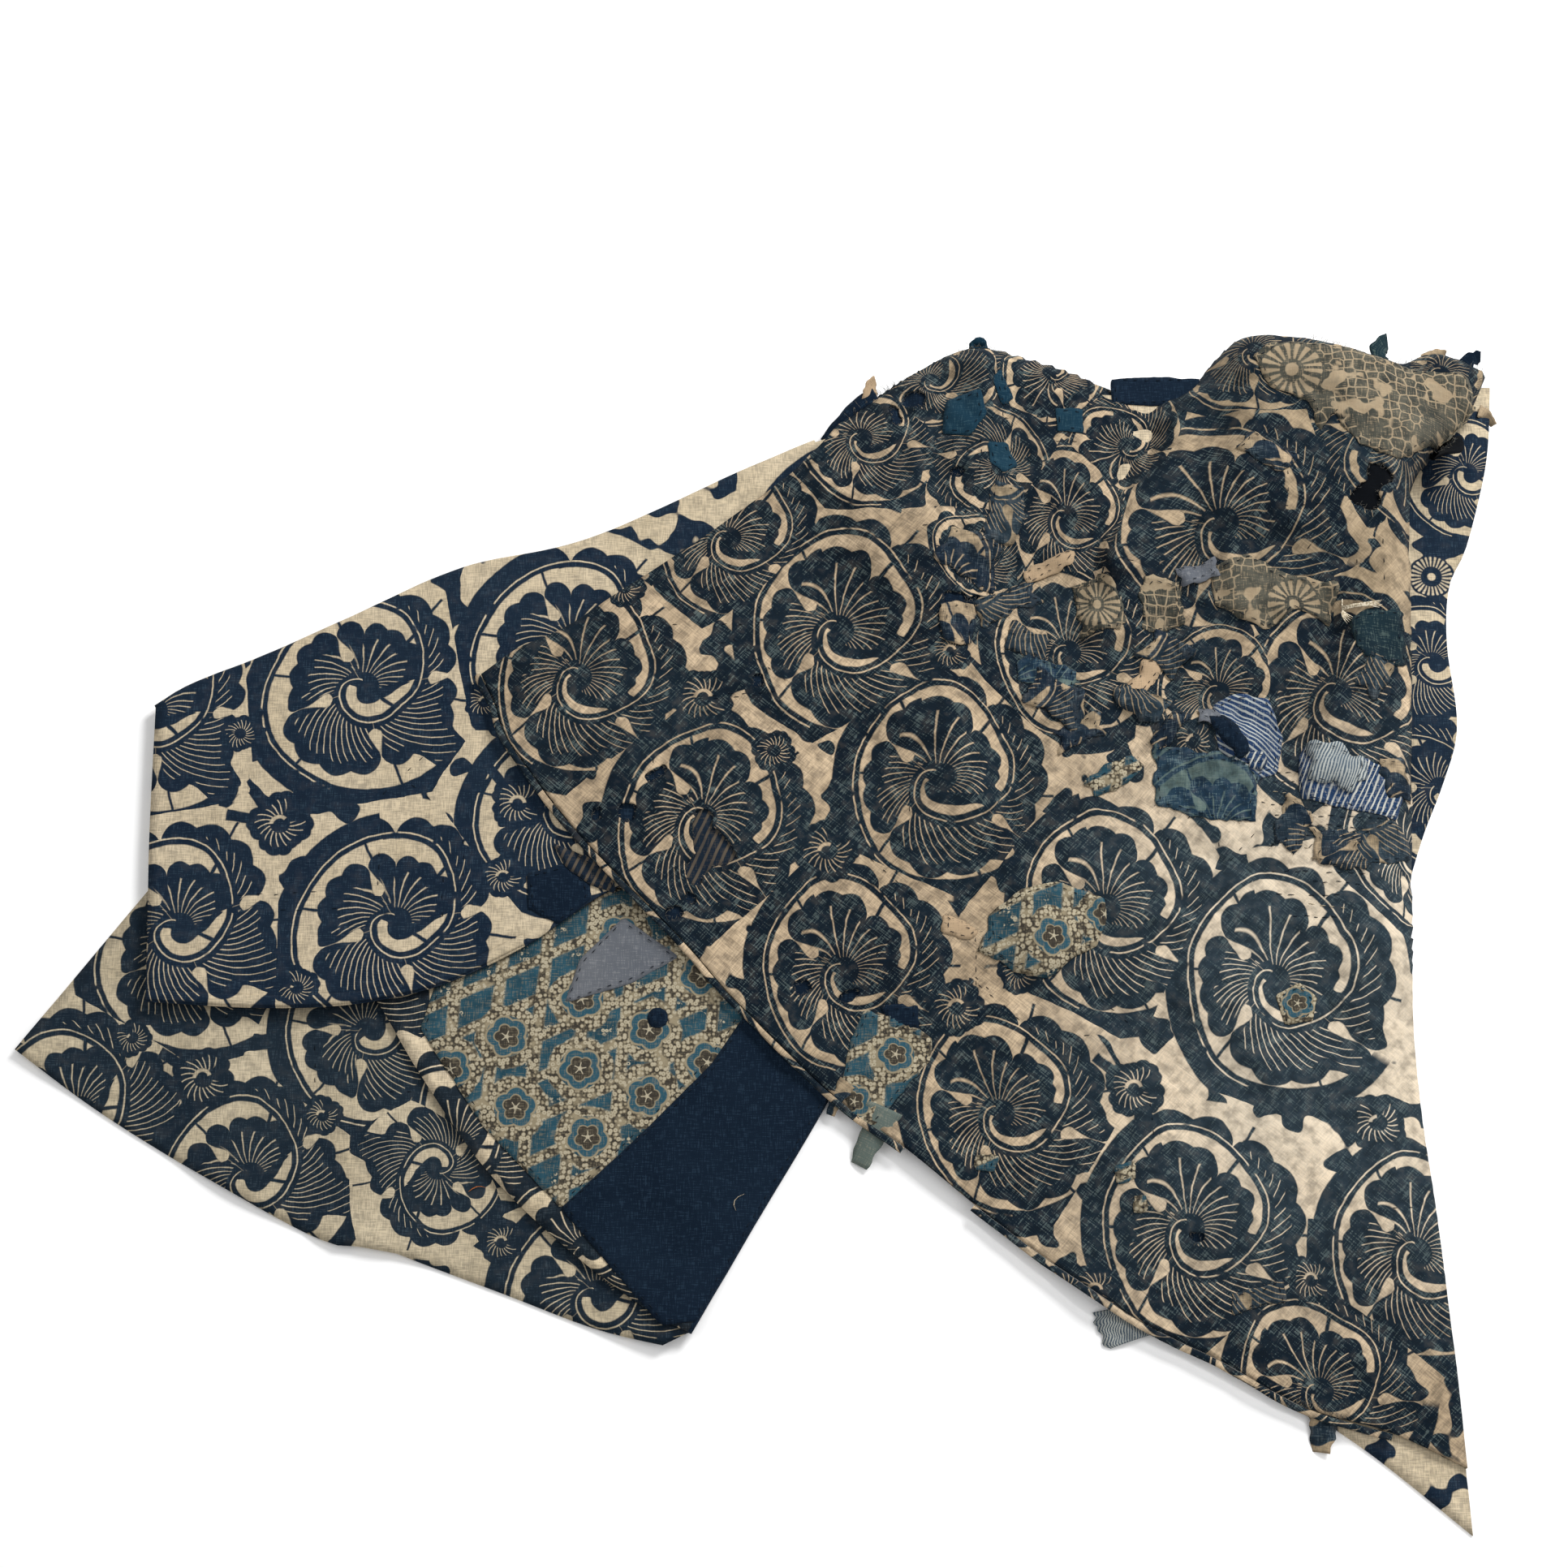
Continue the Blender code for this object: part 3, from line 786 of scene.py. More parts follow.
@dataclass(frozen=True)
class ScrollShape:
    """The drawing of one scroll, as radii in scroll sizes against turns from the top, leftwards.

    stem is the tendril's first turn out from the centre, ring is its second, heart is the edge of
    the flower inside the first turn and lobes the edge of the flower outside it.
    """

    start: float
    stem: tuple[tuple[float, float], ...]
    ring: tuple[tuple[float, float], ...]
    heart: tuple[tuple[float, float], ...]
    lobes: tuple[tuple[float, float], ...]
    first_gap: float
    gap_pitch: float
    middle: PlanPoint


OPEN_SCROLL = ScrollShape(
    start=100.0,
    stem=((0, .08), (.11, .14), (.22, .24), (.34, .31), (.47, .40), (.55, .43), (.64, .46), (.72, .57),
          (.79, .68), (.86, .84), (.92, .97), (1, 1.0)),
    ring=((0, 1.0), (.15, 1.0), (.22, 1.07), (.30, 1.16), (.40, 1.19), (.60, 1.26), (1, 1.3)),
    heart=((0, .3), (.19, .16), (.22, .09), (.25, .08), (.314, .10), (.389, .15), (.472, .20),
           (.556, .22), (.625, .24), (.681, .31), (.722, .40), (.745, .6), (.80, .95), (.828, .74),
           (.861, .70), (.903, .72), (.944, .75), (1, .79)),
    lobes=((0, .79), (.1, .82), (.25, .84), (.29, 1.0), (.5, 1.02), (.575, 1.02), (.60, 1.4), (.63, 1.4),
           (.655, 1.05), (.8, 1.08), (.88, 1.16), (1, 1.22)),
    first_gap=.05, gap_pitch=.232, middle=(-.10, .02),
)
ROUND_SCROLL = ScrollShape(
    start=100.0,
    stem=((0, .10), (.1, .14), (.2, .18), (.286, .23), (.422, .38), (.506, .49), (.639, .63),
          (.731, .82), (.772, .87), (.831, .90), (.886, 1.0), (.928, 1.08), (.975, 1.12), (1, 1.09)),
    ring=((0, 1.09), (.022, 1.04), (.094, .94), (.158, .90), (.222, .87), (.292, .91), (.339, .98),
          (.375, 1.05), (.48, 1.16), (.6, 1.24), (1, 1.3)),
    heart=((0, .3), (.18, .12), (.222, .08), (.278, .12), (.347, .16), (.417, .23), (.494, .30),
           (.556, .38), (.608, .49), (.64, .8), (.68, .9), (.70, .60), (.736, .66), (.778, .72),
           (.847, .74), (.886, .80), (.93, .90), (1, .91)),
    lobes=((0, .92), (.06, .89), (.12, .80), (.25, .77), (.33, .86), (.40, .94), (.45, 1.05), (.56, 1.12),
           (.60, 1.4), (.63, 1.4), (.66, 1.16), (.75, 1.2), (1, 1.26)),
    first_gap=.10, gap_pitch=.26, middle=(.03, .10),
)


@dataclass(frozen=True)
class ScrollDrawing:
    """Draws the scrolling tendril with its comb-like leaves around the nearest motif."""

    shape: ScrollShape
    size: float = 69.0
    edge: float = 0.9
    line: float = 0.6
    comb: float = 0.4

    def ink(self, place: Field, motifs: Sequence[Motif], buds: Sequence[Motif]) -> Field:
        """Find where the indigo is: 1 on it and 0 on the bare cloth."""
        seen, reach, turn = nearest_motif(place, motifs, self.shape.middle)
        start = self.shape.start * TURNS_PER_DEGREE
        around = (turns_round(seen) - turn - start).math("FRACT")
        soft = self.edge / self.size
        stem = around.follow(self.shape.stem, 1.5)
        ring = around.follow(self.shape.ring, 1.5)
        gaps = (around - self.shape.first_gap) * (1 / self.shape.gap_pitch)
        heart = around.follow(self.shape.heart, 1.5)
        late = (around - 0.70).mask(0.02)
        heart = heart + (self.scalloped(heart, gaps) - heart) * late
        lobes = self.scalloped(around.follow(self.shape.lobes, 1.5), gaps)
        coil = (stem - reach).mask(soft)
        inner = self.inside_coil(around, reach, stem, heart, soft)
        outer = self.outside_coil(around, reach, stem, ring, lobes, gaps, soft)
        stem_line = self.line_at(reach - stem, 1.0)
        drawn = (inner * coil + outer * ~coil) * ~(stem_line * self.broken(place))
        ends = around.math("LESS_THAN", 0.43)
        ring_line = self.line_at(reach - ring, 1.0) * ends
        drawn = drawn * ~(ring_line * self.broken(place))
        ground = self.ground(place, around, reach, ring, lobes, soft)
        drawn = drawn | ground
        return self.with_buds(place, drawn, buds)

    def line_at(self, offset: Field, width: float) -> Field:
        """Mask a thin line where an offset in scroll sizes is near 0."""
        half = self.line * width / self.size
        return (half - offset.math("ABSOLUTE")).mask(0.5 / self.size)

    def broken(self, place: Field) -> Field:
        """Break a bare line where the printing failed."""
        return (cloudy(place, 14.0, 1.0) - 0.36).mask(0.06)

    def scalloped(self, edge: Field, gaps: Field) -> Field:
        """Cut the edge of the flower into lobes with small scallops."""
        lobe = gaps.math("FRACT")
        rounded = (lobe * (1 - lobe) * 4).math("POWER", 0.28)
        small = (lobe * 4.0 * math.pi).math("SINE").math("ABSOLUTE")
        return edge * (rounded * 0.22 + 0.74 + small * 0.065)

    def combs(self, around: Field, reach: Field, count: float, twist: Field) -> Field:
        """Draw thin bare lines that fan out from the tendril."""
        phase = (around + twist * reach) * count
        across = (phase.math("FRACT") - 0.5).math("ABSOLUTE") * reach * (2 * math.pi / count)
        half = (reach * 2.4).math("MINIMUM", 1.0) * (self.comb / self.size)
        return (half - across).mask(0.5 / self.size)

    def inside_coil(self, around: Field, reach: Field, stem: Field, heart: Field, soft: float) -> Field:
        """Draw the heart of the flower and the bare crescent that follows the tendril."""
        crescent = (reach - heart).mask(soft) & (stem - 0.07 - reach).mask(soft)
        for turn in (0.63, 0.86):
            spoke = (around - turn).math("ABSOLUTE") * reach * (2 * math.pi)
            crescent = crescent & (spoke - 0.022).mask(soft)
        twist = 0.12 * (around.math("SUBTRACT", 0.8) * 5.0 * -1.0 + 1.0).math("MINIMUM", 1.0)
        limit = heart & (stem - 0.03)
        lines = self.combs(around, reach, 36.0, twist)
        lines = lines & (reach - 0.17).mask(soft) & (limit - 0.18 - reach).mask(soft)
        return ~(crescent | lines)

    def outside_coil(self, around: Field, reach: Field, stem: Field, ring: Field, lobes: Field,
                     gaps: Field, soft: float) -> Field:
        """Draw the lobes outside the tendril's first turn, and the bare space up to its second."""
        early = around.math("LESS_THAN", 0.24)
        count = 58.0 - early * 16.0
        twist = (around * 10.0).math("MINIMUM", 1.0) * -0.13
        phase = (around + twist * reach) * count
        across = (phase.math("FRACT") - 0.5).math("ABSOLUTE") * reach / count * (2 * math.pi)
        half = (reach * 2.4).math("MINIMUM", 1.0) * (self.comb / self.size)
        lines = (half - across).mask(0.5 / self.size)
        margin = 0.15 + early * 0.06
        inner_end = (stem + 0.07).math("MAXIMUM", 0.22)
        lines = lines & (reach - inner_end).mask(soft) & (lobes - margin - reach).mask(soft)
        drops, halo = self.drops(around, reach, stem, gaps, soft)
        lines = lines & ~halo
        bare = (reach - lobes).mask(soft)
        spoke = ((around * 6.0 + 0.3).math("FRACT") - 0.5).math("ABSOLUTE") * reach * (2 * math.pi / 6)
        bare = bare & ((spoke - 0.016).mask(soft) | (reach - ring).mask(soft))
        return ~(lines | drops | bare)

    def drops(self, around: Field, reach: Field, stem: Field, gaps: Field,
              soft: float) -> tuple[Field, Field]:
        """Draw a bare drop in each gap between two lobes, round at its inner end, and its halo."""
        nearest = gaps.math("ROUND")
        across = (gaps - nearest).math("ABSOLUTE") * self.shape.gap_pitch * (2 * math.pi) * reach
        begin = (stem + 0.08).math("MAXIMUM", 0.33)
        along = ((reach - begin) * (1 / 0.32)).math("MAXIMUM", 0.0, clamp=True)
        width = along.follow(((0, 0), (.07, .6), (.2, 1.0), (.42, .78), (.75, .26), (1, 0)), 1.0) * 0.068
        real = (nearest + 0.5).mask(0.1) & (3.6 - nearest).mask(0.1)
        near = (0.06 + 0.03 * along - across).mask(soft * 2) & (reach - begin + 0.06).mask(soft)
        return (width - across).mask(soft) & real, near & real

    def ground(self, place: Field, around: Field, reach: Field, ring: Field, lobes: Field,
               soft: float) -> Field:
        """Draw the tendril's second turn, and the dark patches of the ground between motifs."""
        taper = ((0.63 - around) * 7.0).math("MULTIPLY", 1.0, clamp=True) * 0.4 + 0.6
        band = (reach - ring + 0.062 * taper).mask(soft) & (ring + 0.235 * taper - reach).mask(soft)
        band = band & (0.62 - around).mask(0.01)
        blots = (cloudy(place, 30.0, 1.0) - 0.56).mask(0.012)
        outside = (reach - lobes - 0.12).mask(soft)
        line = self.line_at(reach - ring, 1.0) * around.math("LESS_THAN", 0.43) * self.broken(place)
        return (band * ~line) | (blots & outside & (reach - ring - 0.16 * taper).mask(soft))

    def with_buds(self, place: Field, drawn: Field, buds: Sequence[Motif]) -> Field:
        """Draw small comb flowers over the ground."""
        if not buds:
            return drawn
        seen, reach, turn = nearest_motif(place, buds)
        soft = self.edge / buds[0].size
        around = turns_round(seen) - turn
        edge = (around * 4 * math.pi).math("SINE").math("ABSOLUTE") * 0.16 + 0.80
        edge = edge + (around * 14 * math.pi).math("SINE").math("ABSOLUTE") * 0.06
        flower = (edge - reach).mask(soft)
        phase = (around - reach * 0.12) * 19.0
        across = (phase.math("FRACT") - 0.5).math("ABSOLUTE") * reach * (2 * math.pi / 19.0)
        lines = (0.017 - across).mask(soft * 0.6) & (reach - 0.30).mask(soft)
        lines = lines & (edge - 0.26 - reach).mask(soft) & (around.math("ABSOLUTE") - 0.09).mask(0.02)
        curl = (0.055 - (reach - 0.20 - around * 0.16).math("ABSOLUTE")).mask(soft)
        curl = curl & (around - 0.02).mask(0.02)
        stalk = (0.17 - (around - 0.36).math("ABSOLUTE") * reach * 6.28).mask(soft)
        bud = flower * ~(lines | curl)
        return bud + (drawn | (stalk & (1.6 - reach).mask(soft))) * ~flower


@dataclass(frozen=True)
class ScrollPrint:
    """Handwoven cotton with a resist-printed scroll: deep indigo with the bare tan cloth showing.

    The indigo has rubbed off the tops of its threads, so the dark parts have pale specks.
    """

    name: str
    drawing: ScrollDrawing
    scrolls: tuple[Motif, ...]
    buds: tuple[Motif, ...]
    dark: str
    faded: str
    bare: str
    stained: str
    speck: str
    wear: float
    flowers: tuple[Motif, ...] = ()
    # paints light onto the near right side and shade onto the far right side
    painted_side_light_and_shade: bool = False
    weave: Weave = Weave()

    def material(self) -> bpy.types.Material:
        """Make the material."""
        material = new_material(self.name)
        tree = material.node_tree
        exact = flat_place(tree, 0.0)
        place = flat_place(tree, 1.0)
        ink = self.drawing.ink(place, self.scrolls, self.buds)
        if self.flowers:
            ink = chrysanthemum_ink(place, ink, self.flowers)
        threads = self.weave.threads(exact)
        cloud = cloudy(exact, 90.0, 3.0)
        dark = mixed((cloud - 0.52).mask(0.25) * self.wear, self.dark, self.faded)
        patchy = cloudy(exact, 15.0, 4.0)
        worn = threads + (patchy - 0.5) * (0.5 * self.wear)
        specks = (worn - 0.58).mask(0.08) * (0.2 + 0.55 * self.wear)
        dark = mixed(specks, dark, self.speck)
        bare = mixed((cloudy(exact, 60.0, 4.0) - 0.5).mask(0.3), self.bare, self.stained)
        bare = mixed((0.50 - threads).mask(0.14) * 0.35, bare, self.faded)
        bare = mixed((0.44 - patchy).mask(0.2) * (0.5 * self.wear), bare, self.stained)
        if self.painted_side_light_and_shade:
            # Painted light pales the near right side's indigo and bare cloth; painted shade darkens the far
            # right side's bare cloth.
            painted_light, painted_shade = self.painted_light_and_shade(exact)
            dark = mixed(painted_light * 0.34, dark, "#414f57")
            bare = mixed(painted_shade * 0.5, mixed(painted_light * 0.45, bare, "#e6dcc9"), "#83745c")
        # The small wrinkles get painted shade in their hollows and a painted highlight on their tops.
        colour = self.weave.creased(exact, mixed(ink, bare, dark), 0.5 * self.wear)
        dress_cotton(material, colour, self.weave.relief(exact, threads, 0.4 + 0.5 * self.wear))
        return material

    def painted_light_and_shade(self, place: Field) -> tuple[Field, Field]:
        """Find where painted light pales the near right side, and where painted shade darkens the far right
        side by the hood.
        """
        right = add_node(place.tree, "ShaderNodeSeparateXYZ", {0: place})
        away = Field(place.tree, right.socket.node.outputs[1])
        painted_light = ((right - 160.0).math("MULTIPLY", 0.006, clamp=True)
               * (60.0 - away).math("MULTIPLY", 0.008, clamp=True)
               * (away + 440.0).math("MULTIPLY", 0.006, clamp=True))
        painted_shade = ((right - 270.0).math("MULTIPLY", 0.012, clamp=True)
                 * (away - 60.0).math("MULTIPLY", 0.012, clamp=True))
        return painted_light, painted_shade


def chrysanthemum_ink(place: Field, drawn: Field, flowers: Sequence[Motif], heart: float = 0.5,
                      count: float = 26.0) -> Field:
    """Draw round flowers with many narrow bare petals round a dark heart over a print."""
    seen, reach, turn = nearest_motif(place, flowers)
    around = turns_round(seen) - turn
    soft = 0.8 / flowers[0].size
    ray = (around * count).math("FRACT") - 0.5
    across = ray.math("ABSOLUTE") * reach * (2 * math.pi / count)
    petals = (reach * (1.9 / count) - 0.012 - across).mask(soft) & (reach - heart).mask(soft)
    tips = 0.86 + 0.08 * (1 - ray * ray * 4)
    petals = petals & (tips - reach).mask(soft)
    eye = (0.19 - reach).mask(soft)
    edge = 1.0 + 0.05 * (around * 9 * math.pi).math("SINE").math("ABSOLUTE")
    inside = (edge - reach).mask(soft)
    return ~(petals | eye) * inside + drawn * ~inside


@dataclass(frozen=True)
class CalicoPrint:
    """Fine printed cotton: five-petalled flowers in a net of small rings, with teal between."""

    name: str
    flowers: tuple[Motif, ...]
    teal: str = "#294c5a"
    deep: str = "#1d3843"
    pale: str = "#8a7f68"
    petal: str = "#37332d"
    centre: str = "#a89f89"
    weave: Weave = Weave(spacing=0.8)

    def material(self) -> bpy.types.Material:
        """Make the material."""
        material = new_material(self.name)
        tree = material.node_tree
        exact = flat_place(tree, 0.0)
        place = flat_place(tree, 0.6)
        seen, reach, turn = nearest_motif(place, self.flowers)
        around = turns_round(seen) - turn
        threads = self.weave.threads(exact)
        worn = cloudy(exact, 14.0, 3.0)
        band = (reach - 1.02).mask(0.05) & (1.56 + (worn - 0.5) * 0.5 - reach).mask(0.1)
        band = band | self.lattice(place)
        ground = mixed((worn - 0.5).mask(0.3), self.teal, self.deep)
        beads, between = self.net(place)
        colour = mixed(band, ground, self.pale)
        colour = mixed(between & band & (worn - 0.42).mask(0.1), colour, self.petal)
        colour = mixed(beads & (band | (worn - 0.62).mask(0.05)), colour, self.centre)
        five = (around * 5 * math.pi).math("SINE").math("ABSOLUTE")
        outline = 0.78 + 0.20 * five
        colour = mixed((outline + 0.10 - reach).mask(0.05), colour, self.pale)
        colour = mixed((outline - reach).mask(0.05), colour, self.teal)
        colour = mixed((0.50 + 0.16 * five - reach).mask(0.05), colour, self.pale)
        colour = mixed((0.44 + 0.16 * five - reach).mask(0.05), colour, self.petal)
        star = (0.30 - reach).mask(0.05) & (0.035 - five * reach * 0.6).mask(0.03)
        colour = mixed(star | (0.10 - reach).mask(0.05), colour, self.centre)
        colour = mixed((threads - 0.56).mask(0.1) * 0.35, colour, self.pale)
        dress_cotton(material, colour, self.weave.relief(exact, threads, 0.4))
        return material

    def lattice(self, place: Field) -> Field:
        """Mask the straight bands that run between the flowers, two ways across."""
        bands = None
        for angle, pitch in ((-25.0, 27.0), (-85.0, 31.0)):
            turned = add_node(place.tree, "ShaderNodeVectorRotate",
                              {"Vector": place, "Angle": math.radians(angle)}, rotation_type="Z_AXIS")
            across = add_node(place.tree, "ShaderNodeSeparateXYZ", {0: turned}, 1) * (1 / pitch) + 0.35
            found = (0.13 - (across.math("FRACT") - 0.5).math("ABSOLUTE")).mask(0.06)
            bands = found if bands is None else bands | found
        return bands

    def net(self, place: Field) -> tuple[Field, Field]:
        """Mask the small rings that the bands are filled with, and the gaps between them."""
        scaled = add_node(place.tree, "ShaderNodeVectorMath", {0: place, "Scale": 1 / 3.2},
                          operation="SCALE")
        cell = add_node(place.tree, "ShaderNodeTexVoronoi", {"Vector": scaled, "Scale": 1.0,
                                                             "Randomness": 0.6}, 0)
        return (0.13 - (cell - 0.32).math("ABSOLUTE")).mask(0.1), (cell - 0.56).mask(0.12)


@dataclass(frozen=True)
class PlainCotton:
    """Plain indigo or grey cotton: an even deep colour with paler threads and worn clouds."""

    name: str
    main: str
    faded: str
    speck: str
    wear: float = 0.5
    weave: Weave = Weave()

    def material(self) -> bpy.types.Material:
        """Make the material."""
        material = new_material(self.name)
        tree = material.node_tree
        exact = flat_place(tree, 0.0)
        threads = self.weave.threads(exact)
        colour = mixed((cloudy(exact, 55.0, 4.0) - 0.5).mask(0.3) * self.wear, self.main, self.faded)
        colour = mixed((threads - 0.57).mask(0.09) * 0.4, colour, self.speck)
        dress_cotton(material, colour, self.weave.relief(exact, threads, 0.4))
        return material


@dataclass(frozen=True)
class StripedCotton:
    """Yarn-dyed cotton with narrow stripes, 2.7 mm from one to the next."""

    name: str
    angle: float
    dark: str = "#26333f"
    light: str = "#bcbbb0"
    pitch: float = 2.7
    balance: float = 0.0
    weave: Weave = Weave(spacing=0.8)

    def material(self) -> bpy.types.Material:
        """Make the material."""
        material = new_material(self.name)
        tree = material.node_tree
        exact = flat_place(tree, 0.0)
        place = flat_place(tree, 0.35)
        threads = self.weave.threads(exact)
        turned = add_node(tree, "ShaderNodeVectorRotate",
                          {"Vector": place, "Angle": math.radians(self.angle)}, rotation_type="Z_AXIS")
        across = add_node(tree, "ShaderNodeSeparateXYZ", {0: turned})
        wave = (across * (2 * math.pi / self.pitch)).math("SINE")
        stripes = (wave + self.balance).mask(0.5)
        colour = mixed(stripes, self.light, self.dark)
        colour = mixed((cloudy(exact, 22.0, 4.0) - 0.5).mask(0.3) * 0.45, colour, self.dark)
        colour = mixed((threads - 0.57).mask(0.09) * 0.3, colour, self.light)
        dress_cotton(material, colour, self.weave.relief(exact, threads, 0.4))
        return material


@dataclass(frozen=True)
class ScalePrint:
    """Grey-green cotton printed with a fan of petals, and small scales round it."""

    name: str
    flowers: tuple[Motif, ...]
    ground: str = "#383a35"
    worn: str = "#504f46"
    pale: str = "#a89579"
    scale: float = 8.0
    weave: Weave = Weave()

    def material(self) -> bpy.types.Material:
        """Make the material."""
        material = new_material(self.name)
        tree = material.node_tree
        exact = flat_place(tree, 0.0)
        place = flat_place(tree, 0.8)
        threads = self.weave.threads(exact)
        scaled = add_node(tree, "ShaderNodeVectorMath", {0: place, "Scale": 1 / self.scale},
                          operation="SCALE")
        edge = add_node(tree, "ShaderNodeTexVoronoi", {"Vector": scaled, "Scale": 1.0,
                                                       "Randomness": 0.45}, 0,
                        feature="DISTANCE_TO_EDGE")
        scales = (0.06 - edge).mask(0.05) & (0.60 - cloudy(place, 42.0, 1.0)).mask(0.03)
        leaves = (cloudy(place, 24.0, 2.0) - 0.595).mask(0.02)
        ink = chrysanthemum_ink(place, ~(scales | leaves), self.flowers, 0.36, 17.0)
        ground = mixed((cloudy(exact, 40.0, 3.0) - 0.5).mask(0.3), self.ground, self.worn)
        pale = mixed((cloudy(exact, 9.0, 4.0) - 0.5).mask(0.3) * 0.5, self.pale, self.worn)
        # The small wrinkles get painted shade in their hollows and a painted highlight on their tops.
        colour = self.weave.creased(exact, mixed(ink, pale, ground), 0.35)
        colour = mixed((threads - 0.57).mask(0.09) * 0.35, colour, self.pale)
        dress_cotton(material, colour, self.weave.relief(exact, threads, 0.45))
        return material


@dataclass(frozen=True)
class ThreadFinish:
    """Handspun cotton sewing thread: dull, with a twist that shows as small dark turns."""

    name: str
    colour: str
    shade: str
    twist: float = 1.2

    def material(self) -> bpy.types.Material:
        """Make the material."""
        material = new_material(self.name)
        tree = material.node_tree
        place = add_node(tree, "ShaderNodeTexCoord", output=3)
        scaled = add_node(tree, "ShaderNodeVectorMath", {0: place, "Scale": 1 / (self.twist * MM)},
                          operation="SCALE")
        turns = add_node(tree, "ShaderNodeTexNoise", {"Vector": scaled, "Scale": 1.0, "Detail": 1.0})
        colour = mixed((turns - 0.5).mask(0.2), self.colour, self.shade)
        bump = add_node(tree, "ShaderNodeBump", {"Strength": 0.4, "Distance": 0.3 * MM,
                                                 "Height": turns})
        dress_cotton(material, colour, bump)
        return material


def inside(place: Vector, outline: Sequence[Vector]) -> bool:
    """Tell whether a place is inside a closed outline, in plan."""
    found = False
    for a, b in zip(outline, list(outline[1:]) + [outline[0]]):
        if (a.y > place.y) != (b.y > place.y):
            if place.x < a.x + (place.y - a.y) / (b.y - a.y) * (b.x - a.x):
                found = not found
    return found


def nearest_on(outline: Sequence[Vector], place: Vector) -> Vector:
    """Find the nearest place on a closed outline."""
    best = outline[0]
    reach = math.inf
    for a, b in zip(outline, list(outline[1:]) + [outline[0]]):
        run = b - a
        t = min(1.0, max(0.0, (place - a).dot(run) / max(run.length_squared, 1e-9)))
        on = a + run * t
        away = (place - on).length_squared
        if away < reach:
            best, reach = on, away
    return best


def ragged(outline: Sequence[PlanPoint], depth: float, seed: int, step: float = 2.5) -> list[Vector]:
    """Roughen a closed outline.

    Args:
        outline: The corners, in order.
        depth: How far the edge wanders either way, in millimetres.
        seed: A number that tells one edge from another.
        step: The distance between the outline's new points.

    Returns:
        The rough outline.
    """
    corners = [Vector((x, y, 0)) for x, y in outline]
    rough = []
    for a, b in zip(corners, corners[1:] + corners[:1]):
        pieces = max(1, round((b - a).length / step))
        aside = Vector((-(b - a).y, (b - a).x, 0)).normalized()
        for k in range(pieces):
            place = a.lerp(b, k / pieces)
            wander = ripple(place, 9.0, seed) + 0.6 * ripple(place, 3.5, seed + 0.5)
            rough.append(place + aside * depth * wander)
    return rough


def area_of(outline: Sequence[Vector]) -> float:
    """Measure the area inside a closed outline, in square millimetres."""
    total = 0.0
    for a, b in zip(outline, list(outline[1:]) + [outline[0]]):
        total += a.x * b.y - b.x * a.y
    return abs(total) / 2


def keep_outline(mesh: bmesh.types.BMesh, outline: Sequence[Vector], cell: float) -> None:
    """Cut a flat mesh to an outline and draw its edge onto the outline."""
    outside = [face for face in mesh.faces if not inside(face.calc_center_median(), outline)]
    bmesh.ops.delete(mesh, geom=outside, context="FACES")
    for vertex in mesh.verts:
        if vertex.is_boundary:
            on = nearest_on(outline, vertex.co)
            if (on - vertex.co).length < 1.5 * cell:
                vertex.co = on


def cut_hole(mesh: bmesh.types.BMesh, outline: Sequence[Vector], cell: float) -> None:
    """Cut a hole with a given outline into a flat mesh, with finer cells round it."""
    middle = sum(outline, Vector()) / len(outline)
    reach = max((place - middle).length for place in outline) + 1.5 * cell
    near = []
    for face in mesh.faces:
        spot = face.calc_center_median()
        if (spot - middle).length < reach and (nearest_on(outline, spot) - spot).length < cell:
            near.append(face)
    edges = list({edge for face in near for edge in face.edges})
    bmesh.ops.subdivide_edges(mesh, edges=edges, cuts=2, use_grid_fill=True)
    near = [face for face in mesh.faces if (face.calc_center_median() - middle).length < reach]
    gone = [face for face in near if inside(face.calc_center_median(), outline)]
    rim = {vertex for face in gone for vertex in face.verts}
    bmesh.ops.delete(mesh, geom=gone, context="FACES")
    for vertex in rim:
        if vertex.is_valid and vertex.is_boundary:
            vertex.co = nearest_on(outline, vertex.co)


def show(name: str, data: bpy.types.Mesh) -> bpy.types.Object:
    """Put a finished mesh in the scene as a piece that rides on the body."""
    data.shade_smooth()
    piece = bpy.data.objects.new(name, data)
    bpy.context.scene.collection.objects.link(piece)
    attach(piece, BODY)
    return piece


def thicken(piece: bpy.types.Object, thickness: float) -> None:
    """Give a one-sided sheet its thickness, half on each side."""
    solidify = piece.modifiers.new("thickness", "SOLIDIFY")
    solidify.thickness = thickness * MM
    solidify.offset = 0.0


def to_frame(point: Vector) -> Vector:
    """Turn a point in plan millimetres into metres in the frame."""
    return (point - PLAN_CENTRE) * MM


def write_flat_places(mesh: bmesh.types.BMesh, flat: bmesh.types.BMLayerItem) -> None:
    """Write each vertex's flat place into the piece's own UV map, in metres."""
    uv = mesh.loops.layers.uv.new(FLAT_UV)
    for face in mesh.faces:
        for loop in face.loops:
            loop[uv].uv = Vector(loop.vert[flat]).xy * MM


def blot(x: float, y: float, length: float, width: float, turn: float) -> list[PlanPoint]:
    """Draw a four-sided outline with round corners, turned by some degrees."""
    angle = math.radians(turn)
    corners = []
    for k in range(14):
        across, up = math.cos(2 * math.pi * k / 14), math.sin(2 * math.pi * k / 14)
        u = math.copysign(abs(across) ** 0.65, across) * length / 2
        v = math.copysign(abs(up) ** 0.65, up) * width / 2
        corners.append((x + u * math.cos(angle) - v * math.sin(angle),
                        y + u * math.sin(angle) + v * math.cos(angle)))
    return corners


